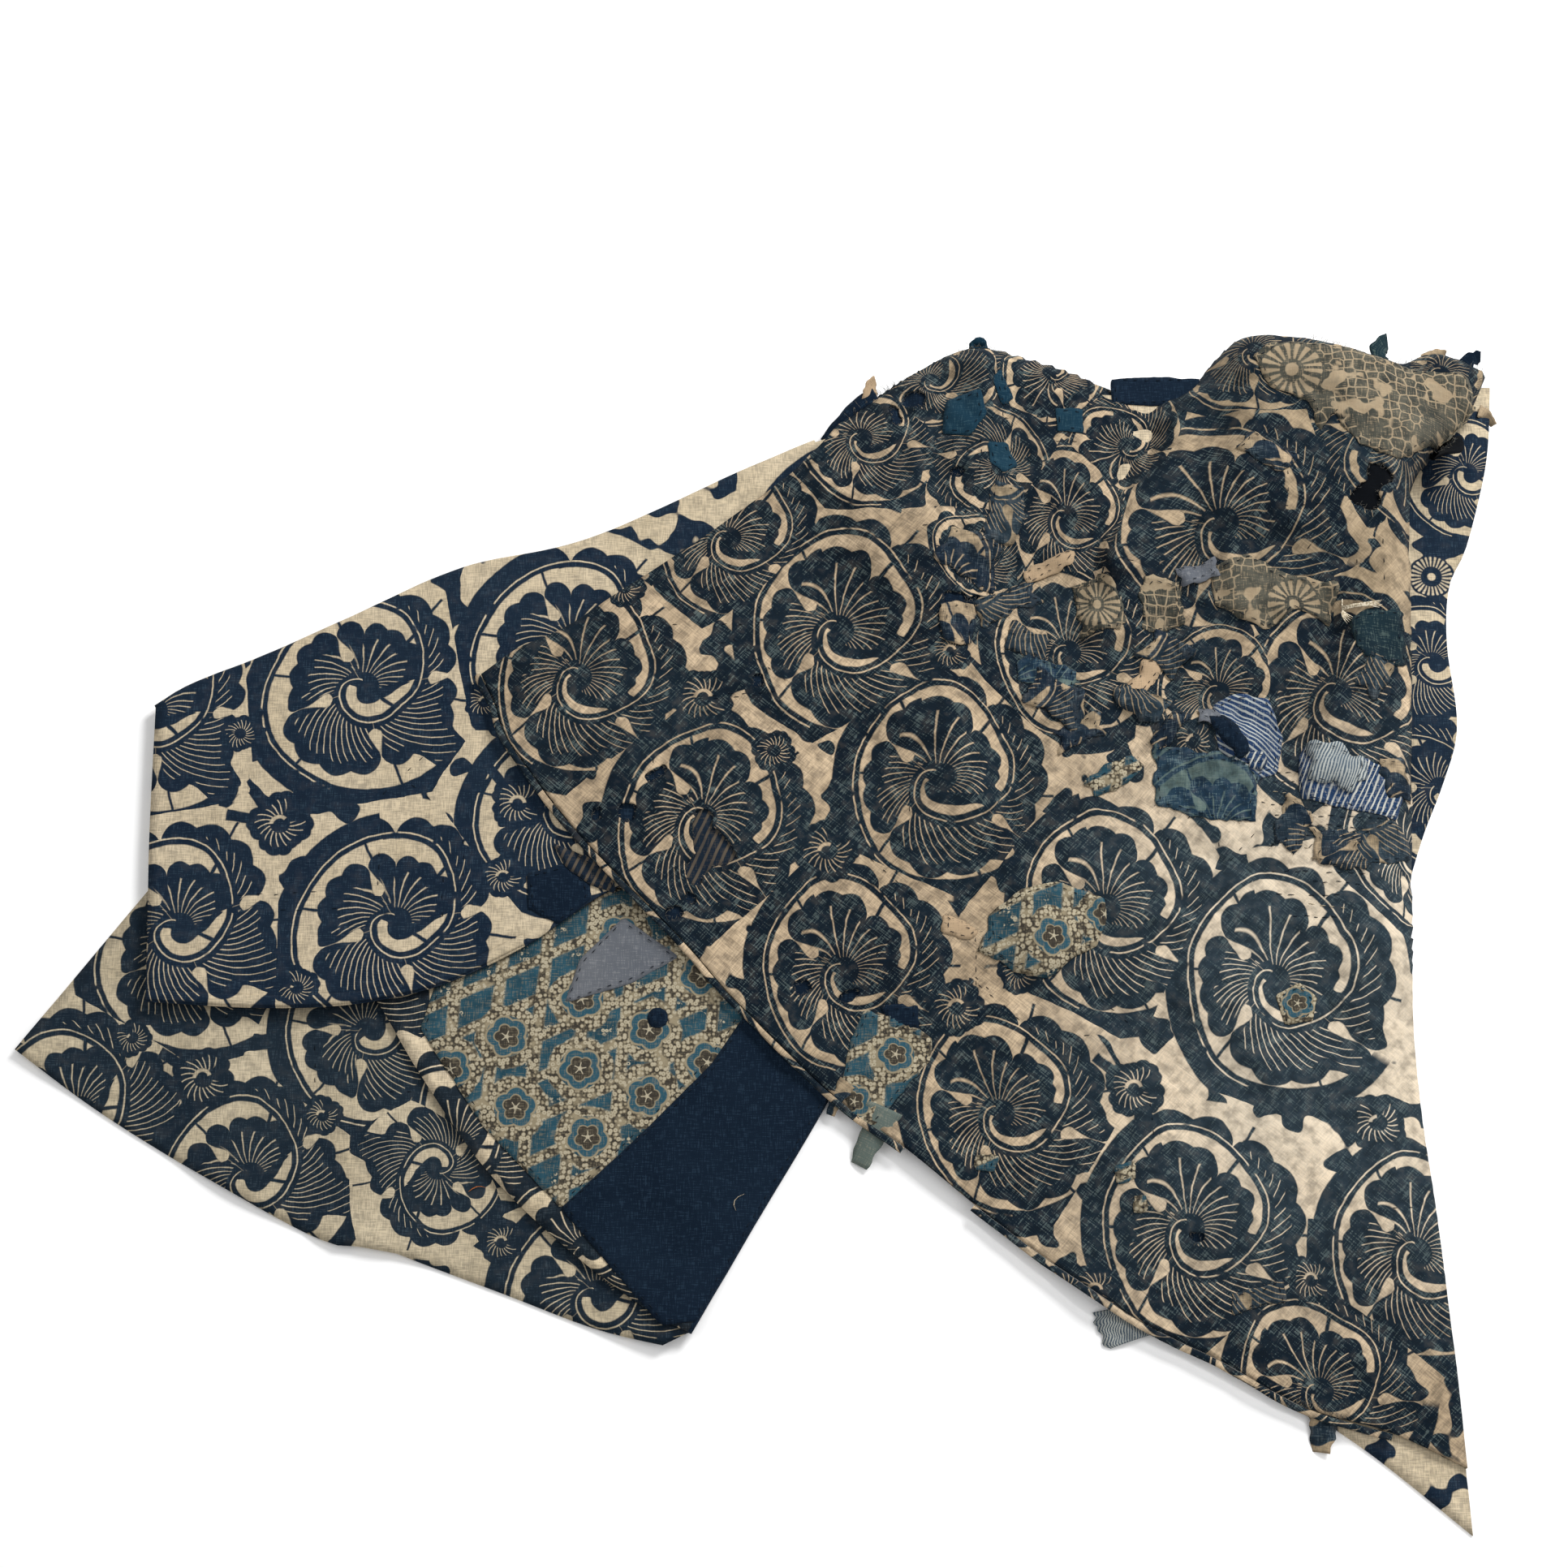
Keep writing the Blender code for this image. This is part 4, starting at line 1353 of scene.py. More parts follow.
def torn_piece(x: float, y: float, length: float, width: float, turn: float,
               seed: int) -> list[PlanPoint]:
    """Draw the outline of a torn four-sided piece with uneven corners, turned by some degrees."""
    draw = random.Random(seed)
    angle = math.radians(turn)
    corners = []
    for across, up in ((-1, -1), (0, -1), (1, -1), (1, 0), (1, 1), (0, 1), (-1, 1), (-1, 0)):
        u = (across + draw.uniform(-0.28, 0.24)) * length / 2
        v = (up + draw.uniform(-0.28, 0.24)) * width / 2
        corners.append((x + u * math.cos(angle) - v * math.sin(angle),
                        y + u * math.sin(angle) + v * math.cos(angle)))
    return corners


@dataclass
class Hole:
    """A worn hole in the top leaf, with a rough edge."""

    outline: list[PlanPoint]
    depth: float = 2.6


@dataclass
class FoldedCloth:
    """The one worn cloth: four leaves and the folds that join them."""

    shape: ClothShape
    leaves: dict[LeafName, Leaf]
    finishes: dict[LeafName, bpy.types.Material]
    fold_finish: bpy.types.Material
    holes: list[Hole]
    fold_steps: int = 5
    flat_width: float = 1.15
    flat_length: float = 1.60
    flat_area: float = 1.29

    def build(self) -> bpy.types.Object:
        """Build the cloth and put it in place of its solid."""
        mesh = bmesh.new()
        ends = [0]
        for name in LeafName:
            self.add_flat_leaf(mesh, name)
            ends.append(len(mesh.faces))
        flat = mesh.verts.layers.float_vector.new("flat_place")
        low, back, under, top = (self.lift_leaf(mesh, flat, name, ends[name.value:name.value + 2])
                                 for name in LeafName)
        band = self.shape.band_cells
        self.add_fold(mesh, flat, [line[-1] for line in low], [line[0] for line in back],
                      RIGHT_FOLD, 1.0, (INDIGO_INDEX, INDIGO_INDEX))
        self.add_fold(mesh, flat, [line[-1] for line in back], under[-1][:band + 1],
                      UPPER_FOLD, -1.0, (LeafName.BACK.value, LeafName.UNDER.value))
        tip, joined = self.shape.tip_cells, self.shape.joined_cells
        self.add_crease(mesh, [line[-1] for line in under][tip:tip + joined + 1],
                        [line[-1] for line in top][:self.shape.top_per_under * joined + 1])
        bmesh.ops.recalc_face_normals(mesh, faces=mesh.faces)
        write_flat_places(mesh, flat)
        data = bpy.data.meshes.new("folded_cloth")
        mesh.to_mesh(data)
        mesh.free()
        for leaf in LeafName:
            data.materials.append(self.finishes[leaf])
        data.materials.append(self.fold_finish)
        piece = show("folded_cloth", data)
        thicken(piece, SHEET)
        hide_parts("cloth")
        return piece

    def add_flat_leaf(self, mesh: bmesh.types.BMesh, name: LeafName) -> None:
        """Add one leaf as a flat grid with its holes cut, in plan millimetres."""
        places = self.leaves[name].flat
        sheet = bmesh.new()
        made = bmesh.ops.create_grid(sheet, x_segments=len(places[0]) - 1, y_segments=len(places) - 1,
                                     size=1.0)["verts"]
        made.sort(key=lambda v: (round(v.co.y, 5), round(v.co.x, 5)))
        for vertex, place in zip(made, (place for row in places for place in row)):
            vertex.co = place
        if name is LeafName.TOP:
            for index, hole in enumerate(self.holes):
                cut_hole(sheet, ragged(hole.outline, hole.depth, 40 + index), 4.0)
        for face in sheet.faces:
            face.material_index = name.value
        data = bpy.data.meshes.new("flat_leaf")
        sheet.to_mesh(data)
        sheet.free()
        mesh.from_mesh(data)
        bpy.data.meshes.remove(data)

    def lift_leaf(self, mesh: bmesh.types.BMesh, flat: bmesh.types.BMLayerItem, name: LeafName,
                  span: list[int]) -> list[list[Optional[bmesh.types.BMVert]]]:
        """Lift one leaf to its surface and return its grid of vertices, row by row."""
        leaf = self.leaves[name]
        vertices = {vertex for face in mesh.faces[span[0]:span[1]] for vertex in face.verts}
        kept = {self.spot(vertex.co): vertex for vertex in vertices}
        lines = [[kept.get(self.spot(place)) for place in row] for row in leaf.flat]
        for vertex in vertices:
            place = vertex.co.copy()
            vertex[flat] = place
            vertex.co = to_frame(leaf.point(place))
        return lines

    @staticmethod
    def spot(place: Vector) -> tuple[float, float]:
        """Name a flat place, so that its vertex can be found again after a cut."""
        return round(place.x, 3), round(place.y, 3)

    def add_fold(self, mesh: bmesh.types.BMesh, flat: bmesh.types.BMLayerItem,
                 lower: list[bmesh.types.BMVert], upper: list[bmesh.types.BMVert],
                 line: list[PlanPoint], side: float, finishes: tuple[int, int]) -> None:
        """Join the edges of two leaves, one above the other, by a soft half-round fold."""
        along = (Vector((*line[-1], 0)) - Vector((*line[0], 0))).normalized()
        outward = Vector((along.y, -along.x, 0)) * side
        before = lower
        for step in range(1, self.fold_steps + 1):
            angle = math.pi * step / (self.fold_steps + 1)
            ring = []
            for low, high in zip(lower, upper):
                middle = (low.co + high.co) / 2
                radius = (high.co.z - low.co.z) / 2
                vertex = mesh.verts.new(middle + outward * radius * math.sin(angle)
                                        - Vector((0, 0, radius * math.cos(angle))))
                run = min(angle, math.pi - angle) * radius / MM
                vertex[flat] = Vector(low[flat]) + outward * run
                ring.append(vertex)
            self.add_band(mesh, before, ring, finishes[int(2 * step > self.fold_steps + 1)])
            before = ring
        self.add_band(mesh, before, upper, finishes[1])

    def add_band(self, mesh: bmesh.types.BMesh, first: list[bmesh.types.BMVert],
                 second: list[bmesh.types.BMVert], finish: int) -> None:
        """Fill between two rows of the same number of vertices."""
        for i in range(len(first) - 1):
            face = mesh.faces.new((first[i], first[i + 1], second[i + 1], second[i]))
            face.material_index = finish

    def add_crease(self, mesh: bmesh.types.BMesh, lower: list[bmesh.types.BMVert],
                   upper: list[bmesh.types.BMVert]) -> None:
        """Join two edges where the upper one has two cells for each cell of the lower one."""
        for i in range(len(lower) - 1):
            a, b, c = upper[2 * i:2 * i + 3]
            for corners in ((lower[i], a, b), (lower[i], b, lower[i + 1]), (lower[i + 1], b, c)):
                mesh.faces.new(corners).material_index = LeafName.TOP.value


@dataclass
class SewnPatch:
    """A thin patch that is sewn to a leaf, with puckers between its stitches."""

    name: str
    leaf: LeafName
    outline: list[PlanPoint]
    finish: bpy.types.Material
    slot: str
    replaces: tuple[str, ...] = ()
    layer: int = 0
    rough: float = 0.8
    pucker: float = 0.5
    cell: float = 3.0
    below: bool = False
    shift: PlanPoint = (0.0, 0.0)
    held: str = "laid"

    def build(self, leaves: dict[LeafName, Leaf], seed: int) -> bpy.types.Object:
        """Build the patch on its leaf."""
        leaf = leaves[self.leaf]
        outline = ragged(self.outline, self.rough, seed)
        xs, ys = [p.x for p in outline], [p.y for p in outline]
        width, length = max(xs) - min(xs), max(ys) - min(ys)
        mesh = bmesh.new()
        flat = mesh.verts.layers.float_vector.new("flat_place")
        bmesh.ops.create_grid(mesh, x_segments=math.ceil(width / self.cell) + 1,
                              y_segments=math.ceil(length / self.cell) + 1, size=0.5)
        middle = Vector(((max(xs) + min(xs)) / 2, (max(ys) + min(ys)) / 2, 0))
        for vertex in mesh.verts:
            vertex.co = Vector((vertex.co.x * (width + self.cell), vertex.co.y * (length + self.cell), 0))
            vertex.co += middle
        keep_outline(mesh, outline, self.cell)
        base = SHEET / 2 + SEAM_GAP + PATCH / 2 + self.layer * (PATCH + SEAM_GAP)
        for vertex in mesh.verts:
            place = vertex.co.copy()
            vertex[flat] = place + Vector((*self.shift, 0))
            inward = min(1.0, (nearest_on(outline, place) - place).length / 6.0)
            lift = base + inward * self.pucker * (0.6 + ripple(place, 11.0, seed + 0.3))
            lift += 0.4 * self.pucker * inward * creased(place, 13.0, seed + 0.7)
            lift = -base - 0.6 if self.below else max(base, lift)
            vertex.co = to_frame(leaf.raised(place, lift))
        bmesh.ops.recalc_face_normals(mesh, faces=mesh.faces)
        write_flat_places(mesh, flat)
        true_area = sum(face.calc_area() for face in mesh.faces)
        data = bpy.data.meshes.new(self.name)
        mesh.to_mesh(data)
        mesh.free()
        data.materials.append(self.finish)
        piece = show(self.name, data)
        thicken(piece, PATCH)
        if self.replaces:
            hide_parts(*self.replaces)
        stretch = math.sqrt(max(1.0, true_area / (area_of(outline) * MM * MM)))
        size = (max(width * stretch * MM, 0.011), max(length * stretch * MM, 0.011))
        area = max(true_area, 0.32 * size[0] * size[1])
        return piece


@dataclass
class Ribbon:
    """A narrow strip of cloth, built as rows of places across its length."""

    name: str
    finish: bpy.types.Material
    slot: str

    def build(self, rows: list[list[tuple[Vector, Vector]]], width: float, length: float) -> None:
        """Build the strip.

        Args:
            rows: For each step along the strip, the points across it with their flat places.
            width: The strip's flat width, in millimetres.
            length: The strip's flat length.
        """
        mesh = bmesh.new()
        flat = mesh.verts.layers.float_vector.new("flat_place")
        before: list[bmesh.types.BMVert] = []
        for row in rows:
            ring = []
            for point, place in row:
                vertex = mesh.verts.new(to_frame(point))
                vertex[flat] = place
                ring.append(vertex)
            for i in range(len(before) - 1):
                mesh.faces.new((before[i], before[i + 1], ring[i + 1], ring[i]))
            before = ring
        bmesh.ops.recalc_face_normals(mesh, faces=mesh.faces)
        write_flat_places(mesh, flat)
        area = sum(face.calc_area() for face in mesh.faces)
        data = bpy.data.meshes.new(self.name)
        mesh.to_mesh(data)
        mesh.free()
        data.materials.append(self.finish)
        piece = show(self.name, data)
        thicken(piece, PATCH)
        size = (max(width, 11.0) * MM, max(length, 11.0) * MM)
        area = min(max(area, 0.32 * size[0] * size[1]), size[0] * size[1])


@dataclass
class Hem:
    """A rolled hem along an edge of a leaf."""

    name: str
    leaf: LeafName
    line: list[PlanPoint]
    side: float = 1.0
    width: float = 10.0
    puff: float = 1.1
    inset: float = 1.0
    drawn_from: float = 0.0

    def build(self, ribbon: Ribbon, leaves: dict[LeafName, Leaf], seed: int) -> None:
        """Build the hem on its leaf."""
        leaf = leaves[self.leaf]
        line = smooth_line(self.line, 10)
        base = SHEET / 2 + SEAM_GAP + PATCH / 2
        rows = []
        for i, place in enumerate(line):
            along = line[min(i + 1, len(line) - 1)] - line[max(i - 1, 0)]
            inward = Vector((-along.y, along.x, 0)).normalized() * self.side
            wide = self.width * (1.0 + 0.18 * ripple(place, 40.0, seed))
            row = []
            for step in range(6):
                u = step / 5
                spot = place + inward * (self.inset + u * wide)
                lift = base + self.puff * math.sin(math.pi * u) * (1 + 0.5 * ripple(place, 14.0, seed))
                row.append((leaf.raised(spot, lift), spot + Vector((self.drawn_from, 0, 0))))
            rows.append(row)
        length = sum((b - a).length for a, b in zip(line, line[1:]))
        ribbon.build(rows, self.width, length)


@dataclass
class TornStrip:
    """A torn strip that stands free of the cloth's edge, along a bent middle line."""

    name: str
    path: tuple[tuple[float, float, float], tuple[float, float, float], tuple[float, float, float]]
    width: float
    turn: float = 0.0
    taper: float = 0.4

    def build(self, ribbon: Ribbon, seed: int) -> None:
        """Build the strip."""
        start, bend, end = (Vector(point) for point in self.path)
        rows = []
        steps = 16
        for i in range(steps + 1):
            t = i / steps
            place = start * (1 - t) ** 2 + bend * (2 * t * (1 - t)) + end * t * t
            along = (bend - start) * (1 - t) + (end - bend) * t
            aside = along.cross(Vector((0, 0, 1))).normalized()
            aside.rotate(Matrix.Rotation(math.radians(self.turn) * t, 3, along.normalized()))
            half = self.width / 2 * (1 - self.taper * t)
            row = []
            for step in range(-3, 4):
                u = step / 3
                rough = 1 + 0.4 * ripple(Vector((i * 1.6, step * 2.0, 0)), 5.0, seed)
                spot = place + aside * half * u * rough + Vector((0, 0, 0.12 * half * (1 - u * u)))
                row.append((spot, start + Vector((half * u, t * (end - start).length, 0))))
            rows.append(row)
        ribbon.build(rows, self.width, (bend - start).length + (end - bend).length)


@dataclass
class Strands:
    """Many small threads in one mesh: stamped copies of one small closed shape."""

    name: str
    finish: bpy.types.Material
    slot: str
    template: bpy.types.Mesh = field(init=False)

    def __post_init__(self) -> None:
        """Start the mesh and the template, a four-sided tapered thread one unit long."""
        self.mesh = bmesh.new()
        shape = bmesh.new()
        bmesh.ops.create_cone(shape, cap_ends=True, segments=4, radius1=1.0, radius2=0.45, depth=1.0,
                              matrix=Matrix.Translation((0, 0, 0.5)))
        sides = [edge for edge in shape.edges if abs(edge.verts[0].co.z - edge.verts[1].co.z) > 0.5]
        bmesh.ops.subdivide_edges(shape, edges=sides, cuts=3)
        self.template = bpy.data.meshes.new(self.name + "_template")
        shape.to_mesh(self.template)
        shape.free()

    def add(self, start: Vector, end: Vector, radius: float, bow: Vector) -> None:
        """Add a thread from one point to another, in plan millimetres, that bows aside."""
        known = len(self.mesh.verts)
        self.mesh.from_mesh(self.template)
        self.mesh.verts.ensure_lookup_table()
        along = end - start
        aside = along.cross(Vector((0, 0, 1)))
        if aside.length < 1e-6:
            aside = Vector((1, 0, 0))
        aside.normalize()
        over = aside.cross(along).normalized()
        for vertex in self.mesh.verts[known:]:
            t = vertex.co.z
            bend = 4 * t * (1 - t)
            round_end = 0.35 + 0.65 * min(1.0, 6 * min(t, 1 - t) + 0.2)
            spot = start + along * t + bow * bend
            spot += (aside * vertex.co.x + over * vertex.co.y) * radius * round_end
            vertex.co = to_frame(spot)

    def build(self) -> bpy.types.Object:
        """Finish the mesh as one piece."""
        data = bpy.data.meshes.new(self.name)
        self.mesh.to_mesh(data)
        self.mesh.free()
        bpy.data.meshes.remove(self.template)
        data.materials.append(self.finish)
        return show(self.name, data)


@dataclass
class StitchRow:
    """A row of running stitches along a line on a leaf."""

    leaf: LeafName
    line: list[PlanPoint]
    pitch: float = 13.0
    length: float = 5.5
    layer: int = 0
    wander: float = 1.2
    missing: float = 0.12
    radius: float = 0.42

    def sew(self, strands: Strands, leaves: dict[LeafName, Leaf], draw: random.Random) -> None:
        """Sew the row."""
        leaf = leaves[self.leaf]
        line = [Vector((x, y, 0)) for x, y in self.line]
        total = sum((b - a).length for a, b in zip(line, line[1:]))
        lift = SHEET / 2 + self.layer * (PATCH + SEAM_GAP + 0.35) + 0.15
        along = draw.uniform(0.2, 0.8) * self.pitch
        while along + self.length < total:
            start = along_line(line, along)
            end = along_line(line, along + self.length * draw.uniform(0.75, 1.15))
            shift = Vector((draw.uniform(-1, 1), draw.uniform(-1, 1), 0)) * self.wander
            if draw.random() > self.missing:
                a = leaf.raised(start + shift, lift)
                b = leaf.raised(end + shift * draw.uniform(0.5, 1.0), lift)
                strands.add(a, b, self.radius, Vector((0, 0, 0.35)))
            along += self.pitch * draw.uniform(0.85, 1.15)


def along_line(line: Sequence[Vector], distance: float) -> Vector:
    """Find the place a distance along a line."""
    for a, b in zip(line, line[1:]):
        length = (b - a).length
        if distance <= length:
            return a.lerp(b, distance / max(length, 1e-9))
        distance -= length
    return line[-1].copy()


def closed(outline: list[PlanPoint], inset: float) -> list[PlanPoint]:
    """Draw a closed line a little inside a patch's outline, for its edge stitches."""
    middle_x = sum(x for x, _ in outline) / len(outline)
    middle_y = sum(y for _, y in outline) / len(outline)
    drawn = []
    for x, y in outline + outline[:1]:
        away = math.hypot(x - middle_x, y - middle_y)
        share = max(0.3, 1 - inset / max(away, 1e-6))
        drawn.append((middle_x + (x - middle_x) * share, middle_y + (y - middle_y) * share))
    return drawn


@dataclass
class Fray:
    """Loose thread ends along a torn edge."""

    leaf: LeafName
    line: list[PlanPoint]
    length: float = 6.0
    spacing: float = 1.4
    lift: float = 0.6
    outward: PlanPoint = (0.0, 0.0)
    radius: float = 0.28

    def add(self, strands: Strands, leaves: dict[LeafName, Leaf], draw: random.Random) -> None:
        """Add the thread ends."""
        leaf = leaves[self.leaf]
        line = [Vector((x, y, 0)) for x, y in self.line]
        total = sum((b - a).length for a, b in zip(line, line[1:]))
        along = 0.0
        while along < total:
            root = along_line(line, along)
            start = leaf.raised(root, self.lift)
            turn = draw.uniform(-1.0, 1.0)
            way = Vector((*self.outward, 0))
            if way.length < 0.1:
                way = Vector((math.cos(turn * math.pi), math.sin(turn * math.pi), 0))
            way = way.normalized() + Vector((draw.uniform(-.7, .7), draw.uniform(-.7, .7),
                                             draw.uniform(-.15, .25)))
            end = start + way.normalized() * self.length * draw.uniform(0.4, 1.3)
            bow = Vector((draw.uniform(-1, 1), draw.uniform(-1, 1), draw.uniform(0, .6))) * 1.2
            strands.add(start, end, self.radius * draw.uniform(0.7, 1.2), bow)
            along += self.spacing * draw.uniform(0.5, 1.6)


UNDER_SCROLLS = (
    Motif(-312, 73, 69, 0), Motif(-282, -110, 69, 0), Motif(-440, -114, 69, 12),
    Motif(-158, 106, 69, 0), Motif(-468, 52, 66, -8), Motif(-160, -20, 62, 0),
    Motif(-20, 60, 69, 0), Motif(60, 190, 69, 0), Motif(484, 95, 48, 20), Motif(484, -5, 52, 60),
    Motif(520, 250, 44, 0), Motif(200, -60, 69, 0), Motif(330, 120, 69, 0), Motif(300, -250, 69, 0),
)
UNDER_BUDS = (
    Motif(-370, -35, 25, 40), Motif(-195, -18, 22, 0), Motif(-222, 62, 16, 90), Motif(-352, -160, 17, 150),
    Motif(-402, 36, 15, 200), Motif(-205, -75, 17, 30),
)
LOW_SCROLLS = (
    Motif(-379, -298, 62, 25), Motif(-503, -250, 66, 40), Motif(-247, -292, 48, 200),
    Motif(-132, -384, 64, 20), Motif(-428, -128, 66, 0), Motif(-300, -190, 60, 60),
    Motif(-190, -240, 66, 0), Motif(-80, -300, 66, 0), Motif(20, -150, 66, 0),
)
LOW_BUDS = (Motif(-417, -226, 24, 20), Motif(-470, -196, 15, 120), Motif(-330, -252, 15, 60),
            Motif(-200, -345, 16, 10))
BACK_SCROLLS = (
    Motif(-231, -276, 62, 30), Motif(-140, -352, 60, 60), Motif(-320, -150, 62, 10),
    Motif(-90, -240, 69, 0), Motif(0, -100, 69, 0), Motif(-200, -60, 69, 0), Motif(-100, 90, 69, 0),
)
TOP_SCROLLS = (
    Motif(-153, 77, 66, -10), Motif(40, 116, 72, 0), Motif(-60, -34, 68, -15), Motif(111, -6, 69, 0),
    Motif(43, -149, 66, 10), Motif(232, -104, 68, 0), Motif(154, -255, 66, 20), Motif(353, -158, 72, 0),
    Motif(285, -340, 69, 5), Motif(444, -355, 66, 0), Motif(372, -452, 60, 30), Motif(211, 97, 60, 10),
    Motif(327, 190, 80, 20), Motif(409, 59, 72, -10), Motif(-42, 192, 58, 0), Motif(58, 268, 52, 30),
    Motif(212, 205, 52, 0), Motif(262, 268, 46, 120), Motif(142, 172, 34, 60), Motif(462, 250, 58, 200),
    Motif(160, 243, 46, 200), Motif(112, 318, 44, 90), Motif(205, 325, 44, 150), Motif(355, 330, 50, 40),
    Motif(320, 60, 50, 0), Motif(455, -60, 52, 30), Motif(500, 320, 44, 0),
)
TOP_BUDS = (
    Motif(-59, 61, 24, 0), Motif(32, -59, 24, 60), Motif(251, -237, 23, 10), Motif(423, -261, 22, 90),
    Motif(125, -177, 22, 30), Motif(218, -383, 20, 0), Motif(-8, 20, 17, 200), Motif(170, -150, 17, 120),
    Motif(120, 95, 18, 10), Motif(370, -375, 18, 0), Motif(300, 20, 18, 90), Motif(-120, 150, 17, 40),
)
CALICO_FLOWERS = (
    Motif(-199, -196, 15, 0), Motif(-146, -220, 15, 10), Motif(-97, -191, 15, 30), Motif(-192, -249, 15, 50),
    Motif(-140, -270, 15, 20), Motif(-98, -240, 15, 40), Motif(-146, -168, 15, 0), Motif(-55, -215, 15, 0),
    Motif(-240, -220, 15, 15), Motif(-120, -120, 15, 15), Motif(-60, -150, 15, 15),
    Motif(80, -212, 13, 0), Motif(192, -125, 14, 10), Motif(370, -174, 12, 0), Motif(232, -108, 13, 0),
    Motif(50, -245, 12, 0),
)

MEND_SCROLLS = (Motif(0, 0, 58, 0), Motif(130, 30, 58, 80), Motif(60, -110, 58, 160),
                Motif(-80, -100, 58, 40), Motif(40, 130, 58, 250), Motif(-110, 60, 58, 300))


class Cloth(Enum):
    """The kinds of cotton that the small mends are cut from."""

    PRINT = "print"
    BLUE = "blue print"
    TAN = "tan"
    TEAL = "teal"
    DEEP = "deep green-blue"
    INDIGO = "indigo"
    GREY = "grey"
    SCALES = "scales"
    CALICO = "calico"
    STRIPES = "stripes"
    FINE = "fine stripes"


class Scrap(NamedTuple):
    """A small mend: its middle, its length and width, its turn in degrees, its cloth and its layer."""

    x: float
    y: float
    length: float
    width: float
    turn: float
    cloth: Cloth
    layer: int = 0


MENDS = (
    Scrap(164, 310, 23, 11, -62, Cloth.TEAL), Scrap(148, 351, 14, 11, 20, Cloth.TEAL),
    Scrap(162, 203, 52, 29, 75, Cloth.PRINT), Scrap(139, 171, 50, 35, -20, Cloth.PRINT),
    Scrap(199, 166, 36, 12, 22, Cloth.TAN, 1), Scrap(166, 137, 50, 25, 25, Cloth.PRINT),
    Scrap(127, 116, 28, 31, 0, Cloth.PRINT, 1), Scrap(183, 106, 30, 21, -20, Cloth.PRINT),
    Scrap(195, 77, 36, 25, -20, Cloth.BLUE), Scrap(236, 132, 36, 47, 10, Cloth.SCALES),
    Scrap(281, 135, 31, 37, 0, Cloth.SCALES), Scrap(311, 158, 30, 16, 12, Cloth.GREY, 1),
    Scrap(445, 105, 35, 38, 10, Cloth.DEEP), Scrap(285, 96, 36, 29, -35, Cloth.PRINT, 1),
    Scrap(266, 74, 14, 37, -35, Cloth.TAN), Scrap(263, 55, 36, 21, -32, Cloth.PRINT, 1),
    Scrap(283, 31, 38, 13, 45, Cloth.PRINT), Scrap(312, 40, 16, 16, 0, Cloth.GREY, 2),
    Scrap(327, 23, 37, 11, -55, Cloth.INDIGO, 3), Scrap(313, -11, 77, 52, -14, Cloth.BLUE),
    Scrap(404, 1, 35, 32, -16, Cloth.FINE, 2), Scrap(345, 6, 13, 12, 20, Cloth.STRIPES, 2),
    Scrap(370, -41, 22, 38, -20, Cloth.PRINT), Scrap(428, -57, 54, 29, 18, Cloth.PRINT),
    Scrap(449, -7, 22, 35, 10, Cloth.PRINT, 1), Scrap(403, -60, 37, 27, -8, Cloth.PRINT, 1),
    Scrap(158, -135, 40, 17, -28, Cloth.CALICO), Scrap(127, -120, 25, 12, -20, Cloth.TAN),
    Scrap(242, -299, 14, 12, 10, Cloth.CALICO), Scrap(251, -321, 11, 12, 0, Cloth.CALICO),
    Scrap(144, -290, 15, 12, -10, Cloth.CALICO), Scrap(335, -386, 40, 14, 14, Cloth.PRINT),
    Scrap(218, 32, 36, 19, 20, Cloth.PRINT), Scrap(241, -3, 42, 15, 30, Cloth.CALICO),
    Scrap(201, 60, 42, 31, -30, Cloth.PRINT, 1),
    Scrap(361, 245, 42, 21, -35, Cloth.PRINT), Scrap(440, 76, 36, 19, 60, Cloth.PRINT),
    Scrap(84, -184, 24, 19, 0, Cloth.INDIGO),
)

HOOD_HOLE = [
    (436, 235), (445, 235), (452, 229), (456, 226), (454, 221), (447, 217), (443, 211), (445, 205),
    (440, 198), (435, 196), (429, 201), (425, 201), (420, 205), (422, 210), (429, 217), (435, 221),
    (434, 226),
]
WORN_HOLE = [
    (-65, -28), (-55, -27), (-52, -33), (-52, -41), (-45, -46), (-36, -57), (-34, -66), (-43, -70),
    (-52, -71), (-58, -78), (-61, -84), (-67, -84), (-72, -76), (-71, -66), (-66, -60), (-67, -47),
    (-66, -36),
]
HOLES = [
    Hole(HOOD_HOLE, 1.6), Hole(WORN_HOLE, 2.0), Hole(blot(-94, 1, 18, 8, 35)),
    Hole(blot(-115, -28, 13, 15, 0)), Hole(blot(-137, -30, 7, 10, 0)), Hole(blot(-68, -93, 8, 10, 0)),
    Hole(blot(-79, -105, 14, 9, 30)), Hole(blot(-19, 75, 9, 12, 0)), Hole(blot(14, -161, 14, 11, 30)),
    Hole(blot(47, -167, 16, 9, 30)), Hole(blot(99, 302, 18, 14, 0)), Hole(blot(85, 289, 8, 19, 10)),
    Hole(blot(125, 135, 20, 15, 0)), Hole(blot(140, 135, 14, 7, 25)), Hole(blot(148, 172, 6, 7, 0)),
    Hole(blot(152, 155, 8, 8, 0)), Hole(blot(130, 241, 7, 7, -30)), Hole(blot(291, -345, 12, 7, 0)),
    Hole(blot(500, 265, 18, 9, 35)),
]

LIGHT_POWER = 84.0


